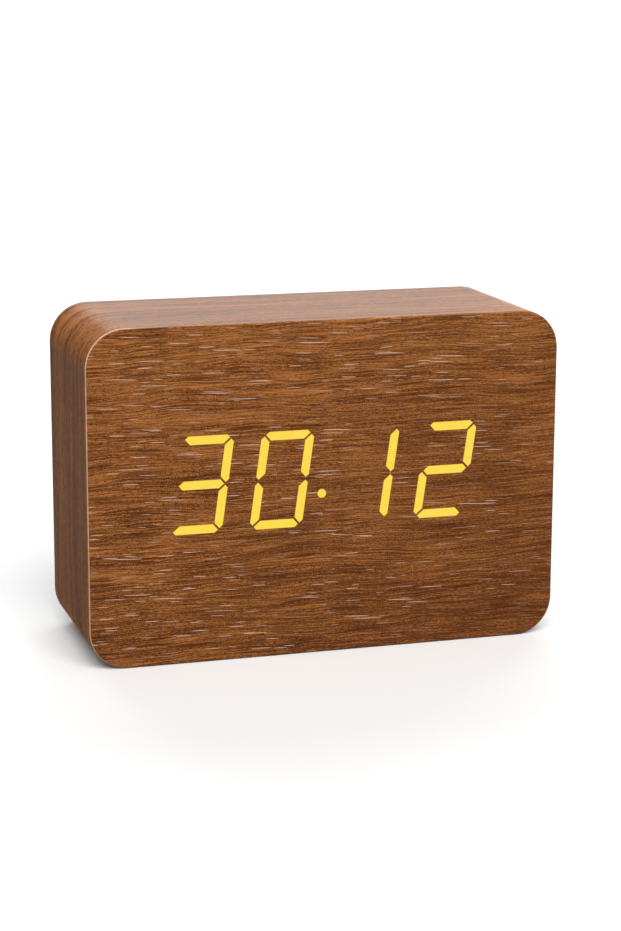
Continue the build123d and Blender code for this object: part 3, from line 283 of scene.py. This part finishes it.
def pores(foil, along, across, share, width):
    """Lens-shaped marks: a share of scattered points has a disc each, which the grain's own
    coordinates squash to a lens."""
    distance = foil.cells(along, across)
    pick, size, _ = foil.channels(foil.cells(along, across, "Color"))
    reach = width * (0.55 + size * 1.1)
    lens = (distance / reach).step(1.0, 0.8)
    return lens * pick.step(1.0 - share - 0.01, 1.0 - share + 0.01)


def side_foil_finish():
    """The same print, run round the case and over its rear rim, with a gloss on the top.

    Its corner arcs carry painted light: they are warmer, brighter and starker, as where the light falls on
    them. It is lighter towards the front."""
    foil = Finish("side_foil", rough=0.5, Specular_IOR_Level=0.01, Coat_Roughness=0.4)
    x, y, z = foil.place()
    side, up = past_core(x, z)
    # The corner mask carries painted light on the arcs
    corner = side.least(up).step(-1.5, 4.5)
    sway = foil.noise(x / 30.0, 2.0, z / 30.0, 1.0)
    across = y + edge_depth(x, z) + (sway - 0.5) * 3.0
    bands = foil.noise(x / 70.0, across / 3.0, z / 70.0, 2.0)
    streaks = foil.noise(x / 16.0, across / 0.6, z / 16.0, 2.0)
    fibre = foil.noise(x / 5.0, across / 0.26, z / 5.0, 1.0)
    grit = foil.noise(x / 0.9, across / 0.2, z / 0.9, 1.0)
    tone = (bands - 0.5) + (streaks - 0.5) + (grit - 0.5) * 1.4
    # Painted light: the corner arcs get more brightness, contrast and warmth
    tone = tone * (1.0 + corner * 2.2) + 0.46 + y.step(-16.0, -18.4, 0.0, 0.2) + corner * 0.34
    deep = foil.mix(corner, shade(90, 53, 29), shade(82, 42, 16))
    light = foil.mix(corner, shade(170, 108, 56), shade(180, 109, 43))
    color = foil.mix(tone.step(0.0, 1.0), deep, light)
    color = foil.mix(fibre.step(0.53, 0.66) * (corner * 0.3 + 0.5), color, shade(72, 40, 22))
    gloss = z.step(68.5, 69.69, 0.0, 0.18)
    foil.set(Base_Color=color, Roughness=0.46 + grit * 0.1, Coat_Weight=gloss)
    foil.relief(streaks * 0.6 + grit * 0.4, 0.03, 0.5)
    return foil


def fibreboard_finish():
    """Raw board: felted fibres of two browns in soft clouds, and a darker rear rim."""
    board = Finish("fibreboard", rough=0.85, Specular_IOR_Level=0.2)
    x, y, z = board.place()
    felt = board.noise(x / 0.5, y / 0.25, z / 0.5, 3.0, 1.0)
    cloud = board.noise(x / 9.0, y / 5.0, z / 9.0, 2.0)
    color = board.mix(felt.step(0.3, 0.7), shade(106, 74, 46), shade(158, 122, 82))
    color = board.mix(y.step(18.2, 18.9) * 0.75, color, shade(82, 50, 31))
    board.set(Base_Color=board.mix(cloud.step(0.35, 0.75) * 0.4, color, shade(128, 92, 58)))
    board.relief(felt, 0.08, 0.7)
    return board


# Lit digits


def front_outlines(node):
    """The outlines of a node's separate convex plates in its foremost plane, each as ordered corners.

    Corners are grouped by the triangles that join them, and ordered by their angle about the middle."""
    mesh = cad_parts[node].data
    places = np.empty(len(mesh.vertices) * 3)
    mesh.vertices.foreach_get("co", places)
    places = np.round(places.reshape(-1, 3), 7)
    corners, index = np.unique(places, axis=0, return_inverse=True)
    mesh.calc_loop_triangles()
    triangles = np.empty(len(mesh.loop_triangles) * 3, dtype=int)
    mesh.loop_triangles.foreach_get("vertices", triangles)
    triangles = index.ravel()[triangles.reshape(-1, 3)]
    label = np.arange(len(corners))
    while True:
        lowest = label[triangles].min(axis=1)
        spread = label.copy()
        np.minimum.at(spread, triangles.ravel(), np.repeat(lowest, 3))
        if (spread == label).all():
            break
        label = spread
    front = corners[:, 1] < corners[:, 1].min() + 0.01 * MM
    outlines = []
    for one in np.unique(label):
        ring = corners[front & (label == one)]
        about = ring - ring.mean(axis=0)
        outlines.append(ring[np.argsort(np.arctan2(about[:, 2], about[:, 0]))])
    return outlines


def inset(ring, depth):
    """A convex outline drawn in: each corner goes to where its two sides, moved in by a depth, meet."""
    flat = ring[:, [0, 2]]
    side = np.roll(flat, -1, axis=0) - flat
    side /= np.linalg.norm(side, axis=1, keepdims=True)
    inward = np.stack([-side[:, 1], side[:, 0]], axis=1)
    before = np.roll(inward, 1, axis=0)
    move = (before + inward) / (1 + (before * inward).sum(axis=1, keepdims=True))
    drawn = ring.copy()
    drawn[:, [0, 2]] = flat + move * depth
    return drawn


def stand_in(name, node, finish, vertices, faces, marks, smooth=True):
    """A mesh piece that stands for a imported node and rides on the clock's body.

    Its points carry marks for the finish. Double points at seams and poles are merged, and then its
    faces are turned outwards."""
    mesh = bpy.data.meshes.new(name)
    mesh.from_pydata(np.asarray(vertices).tolist(), [], [list(map(int, face)) for face in faces])
    for mark, values in marks.items():
        mesh.attributes.new(mark, "FLOAT", "POINT").data.foreach_set("value", values)
    work = bmesh.new()
    work.from_mesh(mesh)
    bmesh.ops.remove_doubles(work, verts=work.verts, dist=0.0001 * MM)
    bmesh.ops.recalc_face_normals(work, faces=work.faces)
    work.to_mesh(mesh)
    work.free()
    mesh.materials.append(finish.material)
    if smooth:
        mesh.shade_smooth()
    piece = bpy.data.objects.new(name, mesh)
    bpy.context.scene.collection.objects.link(piece)
    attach(piece, "clock_body")
    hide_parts(node)


def lit_digits(finish):
    """The glowing places: each outline as a wall, a thin rim in two steps and a field.

    The points carry the glow, which is 0 on the wall and rises across the rim to 1 in the field."""
    foil = 0.5 * MM
    rim_middle, rim = 0.07 * MM, 0.16 * MM
    middle_glow = 0.35
    vertices, faces, glow = [], [], []
    for ring in front_outlines("lit_segments"):
        count = len(ring)
        rings = [ring + [0, foil, 0], ring, inset(ring, rim_middle), inset(ring, rim)]
        start = len(glow)
        faces += (swept_faces(len(rings), count) + start).tolist()
        around = np.arange(count)
        faces.append((start + (len(rings) - 1) * count + around).tolist())
        faces.append((start + around[::-1]).tolist())
        vertices += [place for each in rings for place in each]
        glow += [0.0] * (2 * count) + [middle_glow] * count + [1.0] * count
    marks = {"glow": glow}
    stand_in("lit_digits", "lit_segments", finish, vertices, faces, marks, smooth=False)


def lit_finish():
    """Amber light through the foil: even in the field, dying away in the rim, faintly grained."""
    lit = Finish("lit_foil", shade(30, 16, 6), 0.5, Specular_IOR_Level=0.1, Emission_Strength=1.0)
    x, _, z = lit.place()
    grain = lit.noise(x / 4.0, 1.0, z / 0.3, 2.0)
    field = lit.mix(grain.step(0.3, 0.7), shade(252, 214, 70), shade(252, 221, 86))
    lit.set(Emission_Color=lit.mix(lit.mark("glow").step(0.0, 0.9), shade(120, 70, 14), field))
    return lit


# Plain finishes of the back and the works


def moulded_finish(name, low, high, size, depth, rough):
    """Moulded plastic with a spark texture: rounded pits of one size, over a faint cloud of tone."""
    plastic = Finish(name, rough=rough)
    x, y, z = plastic.place()
    pits = plastic.noise(x / size, y / size, z / size, 2.0)
    cloud = plastic.noise(x / 14.0, y / 14.0, z / 14.0, 2.0)
    plastic.set(
        Base_Color=plastic.mix((pits * 0.35 + cloud * 0.65).step(0.35, 0.65), low, high),
        Roughness=rough + (pits - 0.5) * 0.16,
    )
    plastic.relief(pits.step(0.35, 0.65), depth, 0.8)
    return plastic


def metal_finish(name, low, high, rough, along, across, dark_mark=None):
    """Plated or drawn metal: fine lines of tone and roughness along one way, with dull clouds.

    Points with the dark mark hold shade and grime, as in a screw's recess."""
    metal = Finish(name, rough=rough, Metallic=1.0)
    x, y, z = metal.place()
    lines = metal.noise(x / along, y / across, z / across, 3.0)
    cloud = metal.noise(x / 3.0, y / 3.0, z / 3.0, 2.0)
    color = metal.mix((lines * 0.5 + cloud * 0.5).step(0.35, 0.65), low, high)
    if dark_mark:
        color = metal.mix(metal.mark(dark_mark).step(0.1, 0.9) * 0.85, color, shade(52, 50, 48))
    metal.set(
        Base_Color=color,
        Roughness=rough + (cloud - 0.5) * 0.2 + (lines - 0.5) * 0.1,
    )
    metal.relief(lines, 0.01, 0.5)
    return metal


def cell_finish(node, heading):
    """A plain cell: a green sleeve, a grey band by the nub, a pale stripe between them, and bare ends.

    The heading is 1 where the nub points to +x, and -1 where it points to -x."""
    low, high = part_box(node)
    base = low[0] / MM if heading > 0 else high[0] / MM
    sleeve_from, sleeve_to = 0.45, 42.95
    stripe_from, stripe_to = 30.2, 31.0
    cell = Finish(node, rough=0.3)
    x, y, z = cell.place()
    along = (x - base) * heading
    scuff = cell.noise(x / 6.0, y / 0.4, z / 0.4, 3.0)
    speck = cell.noise(x / 0.3, y / 0.3, z / 0.3, 1.0)
    sleeve = along.step(sleeve_from, sleeve_from + 0.05) * along.step(sleeve_to, sleeve_to - 0.05)
    band = along.step(stripe_to, stripe_to + 0.1)
    color = cell.mix(band, shade(38, 78, 66), shade(176, 182, 178))
    stripe = along.step(stripe_from, stripe_from + 0.05) * along.step(stripe_to, stripe_to - 0.05)
    color = cell.mix(stripe, color, shade(224, 226, 220))
    color = cell.mix(scuff.step(0.62, 0.8) * 0.3, color, shade(120, 130, 126))
    color = cell.mix(sleeve, cell.mix(speck, shade(186, 186, 182), shade(214, 214, 210)), color)
    cell.set(Base_Color=color, Metallic=1.0 - sleeve * 0.75, Roughness=0.28 + scuff * 0.14)
    cell.relief(sleeve * 0.8 + speck * 0.1, 0.1, 0.6)
    return cell


def board_finish():
    """Solder mask over copper: tracks that run up or across, as coarse cells choose, and tinned dots."""
    track_pitch = 1.1
    board = Finish("circuit_board", rough=0.35)
    x, y, z = board.place()
    pick, _, _ = board.channels(board.cells(x / 7.0, z / 7.0, "Color"))
    turned = pick.step(0.49, 0.51)
    run = x * (1.0 - turned) + z * turned
    lines = (run * (2 * pi / track_pitch)).wave().step(0.1, 0.5)
    dots = board.cells(x / 2.4 + 7.0, z / 2.4).step(0.16, 0.13)
    weave = board.noise(x / 0.35, y / 0.35, z / 0.35, 2.0)
    color = board.mix(lines * 0.75, shade(16, 74, 44), shade(34, 108, 62))
    color = board.mix(dots, color, shade(196, 194, 184))
    board.set(Base_Color=color, Metallic=dots, Roughness=0.34 + weave * 0.12)
    board.relief(lines * 0.6 + dots * 0.4, 0.03, 0.6)
    return board


def ribbon_finish():
    """Flat cable: a groove between each two of its eight wires, with painted shade in it, and the first
    wire marked red.
    """
    low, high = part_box("ribbon_cable")
    wires = 8
    ribbon = Finish("ribbon", rough=0.55, Specular_IOR_Level=0.4)
    x, y, z = ribbon.place()
    pitch = (high[0] - low[0]) / MM / wires
    wire = (x - low[0] / MM) / pitch
    ridge = ((wire - wire.whole()) * pi).wave().step(0.0, 0.55)
    first = wire.step(1.0, 0.97)
    dust = ribbon.noise(x / 1.2, y / 1.2, z / 1.2, 3.0)
    color = ribbon.mix(first, shade(176, 177, 180), shade(176, 44, 36))
    # Painted shade darkens the grooves between the wires; a little dust is laid over all
    color = ribbon.mix((1.0 - ridge) * 0.5 + dust * 0.15, color, shade(96, 96, 98))
    ribbon.set(Base_Color=color, Roughness=0.5 + dust * 0.12)
    ribbon.relief(ridge, 0.2, 0.8)
    return ribbon


def grained_finish(name, low, high, rough, size):
    """A small part's finish: two close tones in fine clouds, with a slight relief of the same grain."""
    small = Finish(name, rough=rough)
    x, y, z = small.place()
    grain = small.noise(x / size, y / size, z / size, 3.0)
    color = small.mix(grain.step(0.3, 0.7), low, high)
    small.set(Base_Color=color, Roughness=rough + (grain - 0.5) * 0.14)
    small.relief(grain, 0.02, 0.6)
    return small


def capacitor_finish():
    """A shrink sleeve with its pale polarity stripe, and a bare aluminium top."""
    low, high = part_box("filter_capacitor")
    middle_x, top = (low[0] + high[0]) / 2 / MM, high[1] / MM
    bare_depth = 0.4
    stripe_from_middle = 2.4
    sleeve = Finish("capacitor_sleeve", rough=0.35)
    x, y, z = sleeve.place()
    bare = y.step(top - bare_depth - 0.05, top - bare_depth)
    stripe = abs(x - middle_x + stripe_from_middle).step(0.75, 0.65) * (1.0 - bare)
    dull = sleeve.noise(x / 0.8, y / 0.8, z / 0.8, 2.0)
    color = sleeve.mix(stripe, shade(34, 42, 66), shade(170, 176, 188))
    color = sleeve.mix(bare, color, shade(206, 206, 204))
    sleeve.set(Base_Color=color, Metallic=bare, Roughness=0.3 + dull * 0.15)
    sleeve.relief(dull - bare * 0.4, 0.05, 0.5)
    return sleeve


# Small turned and wound pieces


def swept_faces(rows, columns):
    """The quads of a grid of points, closed round its columns."""
    row, column = np.meshgrid(np.arange(rows - 1), np.arange(columns), indexing="ij")
    following = (column + 1) % columns
    quads = [row * columns + column, row * columns + following]
    quads += [(row + 1) * columns + following, (row + 1) * columns + column]
    return np.stack([each.ravel() for each in quads], axis=1)


def cross_screw(x, seat, z, way, radius, head_radius, head, length):
    """One screw with a cross-recessed head and a threaded shank, and how deep each point is recessed.

    A profile of radius and height is turned about the Y axis, on a grid of profile step and angle. The
    thread takes a sawtooth of height and angle off the shank's radius. The recess takes a depth from the
    head where either arm of its cross is near."""
    turns = 9
    tip_share = 0.12
    thread_depth = radius * 0.2
    arm = head_radius * 0.15
    arm_slope = head_radius * 0.12
    span = head_radius * 0.62
    span_slope = head_radius * 0.45
    recess_depth = head * 0.62
    top = np.linspace(0, head_radius * 0.86, 22)
    crown = head * (1 - 0.22 * (top / head_radius) ** 2)
    rim = np.array([[0.93, 0.72], [0.98, 0.55], [1.0, 0.35], [1.0, 0.0]]) * [head_radius, head]
    shank = np.linspace(0, 1, 60)
    taper = np.clip((1 - shank) / tip_share, tip_share, 1)
    profile_r = np.concatenate([top, rim[:, 0], radius * 0.98 * taper, [0]])
    profile_h = np.concatenate([crown, rim[:, 1], -length * shank, [-length]])
    angles = np.linspace(0, 2 * pi, 48, endpoint=False)
    r, angle = np.meshgrid(profile_r, angles, indexing="ij")
    h = np.repeat(profile_h[:, None], len(angles), axis=1)
    pitch = length / turns
    turn = (h / pitch + angle / (2 * pi)) % 1
    threaded = (h < -0.3 * pitch) & (h > -length * 0.97)
    r = r - np.where(threaded, thread_depth * np.abs(2 * turn - 1), 0)
    side = r * np.cos(angle)
    up = r * np.sin(angle)
    thin = np.minimum(np.abs(side), np.abs(up))
    long = np.maximum(np.abs(side), np.abs(up))
    wall = np.clip((arm - thin) / arm_slope + 0.5, 0, 1)
    floor = np.clip((span - long) / span_slope, 0, 1)
    recess = np.where(h > 0.3 * head, wall * floor, 0)
    h = h - recess_depth * recess
    vertices = np.stack([x + side, seat + way * h, z + up], axis=-1).reshape(-1, 3)
    return vertices, swept_faces(len(profile_r), len(angles)), recess.ravel()


def cross_screws(name, node, finish, way, radius, head_radius, head):
    """Every screw of one node, in one piece. They stand a head's radius inside the sides of the node's
    box, with their heads to +y or, where the way is -1, to -y."""
    low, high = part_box(node)
    seat = high[1] - head if way > 0 else low[1] + head
    length = high[1] - low[1] - head
    columns = sorted({round(low[0] + head_radius, 6), round(high[0] - head_radius, 6)})
    rows = low[2] + head_radius, high[2] - head_radius
    vertices, faces, recesses, count = [], [], [], 0
    for x in columns:
        for z in rows:
            points, quads, recess = cross_screw(x, seat, z, way, radius, head_radius, head, length)
            vertices.append(points)
            faces.append(quads + count)
            recesses.append(recess)
            count += len(points)
    vertices, faces, recesses = map(np.concatenate, (vertices, faces, recesses))
    stand_in(name, node, finish, vertices, faces, {"recess": recesses})


def round_wire(line, away, radius, sides):
    """A wire with closed ends: a circle in the plane across the line at each of its points, first turned
    to the way that the away vectors point. Each end is a fan about the middle of its circle."""
    along = np.gradient(line, axis=0)
    along /= np.linalg.norm(along, axis=1, keepdims=True)
    out = away - (away * along).sum(axis=1, keepdims=True) * along
    out /= np.linalg.norm(out, axis=1, keepdims=True)
    side = np.cross(along, out)
    angle = np.linspace(0, 2 * pi, sides, endpoint=False)[None, :, None]
    circle = radius * (np.cos(angle) * out[:, None] + np.sin(angle) * side[:, None])
    points = (line[:, None] + circle).reshape(-1, 3)
    middles = [points[:sides].mean(axis=0), points[-sides:].mean(axis=0)]
    around = np.arange(sides)
    following = (around + 1) % sides
    last = len(points) - sides
    first_middle = np.full(sides, len(points))
    faces = swept_faces(len(line), sides).tolist()
    faces += np.stack([around, following, first_middle], 1).tolist()
    faces += np.stack([last + following, last + around, first_middle + 1], 1).tolist()
    return np.concatenate([points, middles]), faces


def contact_coils(finish):
    """The cone springs as round wire, along helices whose radius falls with their length."""
    low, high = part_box("contact_springs")
    wire, wide, narrow, length = 0.3 * MM, 3.9 * MM, 2.2 * MM, 4.2 * MM
    turns = 2.5
    share = np.linspace(0, 1, 160)
    angle = 2 * pi * turns * share
    radius = wide + (narrow - wide) * share
    away = np.stack([0 * angle, np.cos(angle), np.sin(angle)], axis=1)
    vertices, faces, count = [], [], 0
    for row, heading in enumerate(CELL_HEADINGS):
        cell_low, cell_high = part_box(f"battery_cell_{row + 1}")
        start = low[0] + wire if heading > 0 else high[0] - wire
        middle = [start, (cell_low[1] + cell_high[1]) / 2, (cell_low[2] + cell_high[2]) / 2]
        line = middle + radius[:, None] * away
        line[:, 0] += heading * (length - 2 * wire) * share
        points, spring = round_wire(line, away, wire, 12)
        vertices.append(points)
        faces += [[count + corner for corner in face] for face in spring]
        count += len(points)
    stand_in("contact_coils", "contact_springs", finish, np.concatenate(vertices), faces, {})


# Dressing

front_wood = front_foil_finish()
side_wood = side_foil_finish()
fibreboard = fibreboard_finish()
amber = lit_finish()
black_shell = moulded_finish("rear_panel", shade(30, 30, 32), shade(44, 44, 46), 0.22, 0.03, 0.55)
door_shell = moulded_finish("door", shade(30, 30, 32), shade(44, 44, 46), 0.22, 0.03, 0.52)
button_black = moulded_finish("button", shade(52, 52, 54), shade(66, 66, 68), 0.3, 0.015, 0.38)
screw_steel = metal_finish("screw", shade(140, 140, 138), shade(176, 176, 173), 0.34, 0.5, 0.5, "recess")
nickel = metal_finish("contact", shade(196, 192, 182), shade(228, 225, 216), 0.25, 0.4, 0.12)
tinned = metal_finish("tinned_lead", shade(190, 190, 188), shade(224, 224, 222), 0.3, 0.3, 0.3)
can = metal_finish("crystal_can", shade(196, 196, 196), shade(226, 226, 226), 0.28, 2.0, 0.2)
gilt = metal_finish("jack_pin", shade(208, 184, 120), shade(236, 216, 158), 0.25, 0.3, 0.3)
sprung = metal_finish("dome", shade(204, 204, 202), shade(230, 230, 228), 0.22, 0.3, 0.3)
satin = metal_finish("sensor", shade(190, 190, 190), shade(220, 220, 220), 0.35, 0.3, 0.3)
green = board_finish()
flat_cable = ribbon_finish()
epoxy = grained_finish("chip", shade(34, 34, 36), shade(48, 48, 50), 0.6, 0.15)
black_part = grained_finish("black_part", shade(36, 36, 36), shade(52, 52, 52), 0.55, 0.25)
glazed = grained_finish("small_chip", shade(36, 36, 38), shade(60, 60, 62), 0.3, 0.3)
ivory = grained_finish("connector", shade(226, 220, 202), shade(240, 236, 222), 0.45, 0.8)
nylon = grained_finish("spacer", shade(220, 219, 212), shade(236, 235, 230), 0.5, 0.8)
natural = grained_finish("plunger", shade(214, 212, 204), shade(230, 228, 220), 0.45, 0.6)
grey_white = grained_finish("reflector", shade(206, 206, 202), shade(224, 224, 221), 0.6, 0.5)
milky = grained_finish("lens", shade(232, 228, 208), shade(244, 241, 226), 0.3, 1.2)
resin = grained_finish("led", shade(226, 196, 92), shade(244, 216, 120), 0.25, 0.4)
red_cover = grained_finish("red_lead", shade(186, 36, 30), shade(206, 52, 42), 0.5, 0.4)
black_cover = grained_finish("black_lead", shade(34, 34, 34), shade(54, 54, 54), 0.5, 0.4)
jack_black = grained_finish("jack", shade(30, 30, 30), shade(46, 46, 46), 0.3, 0.4)
sleeved = capacitor_finish()

dress = {
    "case_frame": fibreboard,
    "side_foil": side_wood,
    "front_board": fibreboard,
    "front_foil": front_wood,
    "lit_segments": amber,
    "display_reflector": grey_white,
    "segment_lenses": milky,
    "led_chips": resin,
    "display_board": green,
    "board_spacers": nylon,
    "display_board_screws": screw_steel,
    "controller_chip": epoxy,
    "controller_leads": tinned,
    "timing_crystal": can,
    "filter_capacitor": sleeved,
    "buzzer": black_part,
    "segment_resistors": glazed,
    "digit_transistors": epoxy,
    "display_connector": ivory,
    "control_connector": ivory,
    "ribbon_cable": flat_cable,
    "rear_panel": black_shell,
    "panel_screws": screw_steel,
    "battery_door": door_shell,
    "contact_plates": nickel,
    "contact_springs": nickel,
    "negative_lead": black_cover,
    "positive_lead": red_cover,
    "control_board": green,
    "control_board_screws": screw_steel,
    "switch_housings": black_part,
    "switch_domes": sprung,
    "sound_sensor": satin,
    "power_jack": jack_black,
    "jack_pin": gilt,
}
for node, finish in dress.items():
    wear(node, finish)
for name in ("set", "up", "down"):
    wear(f"{name}_button", button_black)
    wear(f"{name}_plunger", natural)
for row, heading in enumerate(CELL_HEADINGS):
    node = f"battery_cell_{row + 1}"
    wear(node, cell_finish(node, heading))

lit_digits(amber)
contact_coils(nickel)
panel_size = 1.2 * MM, 2.3 * MM, 1.3 * MM
board_size = 0.9 * MM, 1.8 * MM, 1.2 * MM
cross_screws("panel_cross_screws", "panel_screws", screw_steel, 1, *panel_size)
cross_screws("display_cross_screws", "display_board_screws", screw_steel, 1, *board_size)
cross_screws("control_cross_screws", "control_board_screws", screw_steel, -1, *board_size)


# Floor, light and camera


def studio_floor():
    """A wide pale floor: white for the camera, and a plain grey for the light that it throws back.

    It lies a hair under the clock, whose flat underside would otherwise share its plane."""
    size, under = 60.0, -0.05 * MM
    grey, white = (0.22, 0.22, 0.22, 1.0), (1.0, 1.0, 1.0, 1.0)
    corners = [(-size, -size, under), (size, -size, under), (size, size, under), (-size, size, under)]
    mesh = bpy.data.meshes.new("floor")
    mesh.from_pydata(corners, [], [(0, 1, 2, 3)])
    finish = Finish("floor", rough=0.9, Specular_IOR_Level=0.0)
    finish.set(Base_Color=finish.mix(seen_directly(finish), grey, white))
    mesh.materials.append(finish.material)
    floor = bpy.data.objects.new("floor", mesh)
    bpy.context.scene.collection.objects.link(floor)


def seen_directly(shading):
    """1 for rays from the camera and in reflections or through glass, 0 for scattered light."""
    kinds = ("Is Camera Ray", "Is Glossy Ray", "Is Transmission Ray")
    camera, glossy, through = shading.nodes("ShaderNodeLightPath", {}, kinds)
    return camera.most(glossy).most(through)


def soft_sky(level):
    """White all round for the camera and in reflections, and a dimmer even light on the clock."""
    world = bpy.data.worlds.new("sky")
    world.use_nodes = True
    bpy.context.scene.world = world
    sky = Shading(world.node_tree)
    background = sky.tree.nodes["Background"]
    sky.feed(background, {"Color": (1, 1, 1, 1), "Strength": seen_directly(sky) * (1.0 - level) + level})


def soft_sun(name, towards, level, spread):
    """A large soft lamp far off. Its direction points to it, and its spread is in degrees. At level 1 it
    lights a surface that faces it to the surface's own colour."""
    data = bpy.data.lights.new(name, "SUN")
    data.energy = level * pi
    data.angle = radians(spread)
    lamp = bpy.data.objects.new(name, data)
    lamp.rotation_mode = "QUATERNION"
    lamp.rotation_quaternion = Vector(towards).to_track_quat("Z", "Y")
    bpy.context.scene.collection.objects.link(lamp)


def photo_camera():
    """The photograph's camera: to the left of the front, above it and rolled a little.

    Its lens is given as its focal length in pixels of a picture 931 pixels high."""
    yaw, pitch, roll = radians(-17.03), radians(12.55), radians(0.18)
    target = Vector((2.10 * MM, 0, 35.37 * MM))
    distance = 496.28 * MM
    focal_pixels, picture_height = 2335.0, 931
    back = Vector((np.sin(yaw) * np.cos(pitch), -np.cos(yaw) * np.cos(pitch), np.sin(pitch)))
    level_right = Vector((0, 0, 1)).cross(back).normalized()
    level_up = back.cross(level_right)
    right = np.cos(roll) * level_right + np.sin(roll) * level_up
    up = np.cos(roll) * level_up - np.sin(roll) * level_right
    place = target + back * distance
    data = bpy.data.cameras.new("camera")
    data.sensor_width = 36.0
    data.lens = focal_pixels / picture_height * data.sensor_width
    camera = bpy.data.objects.new("camera", data)
    rows = [(right[i], up[i], back[i], place[i]) for i in range(3)]
    camera.matrix_world = Matrix(rows + [(0, 0, 0, 1)])
    bpy.context.scene.collection.objects.link(camera)
    bpy.context.scene.camera = camera


studio_floor()
soft_sky(0.27)
soft_sun("key", (-0.06, -0.7, 0.7), 0.92, 50)
soft_sun("back", (0.25, 0.85, 0.42), 0.6, 60)
photo_camera()
bpy.context.scene.view_settings.view_transform = "Standard"
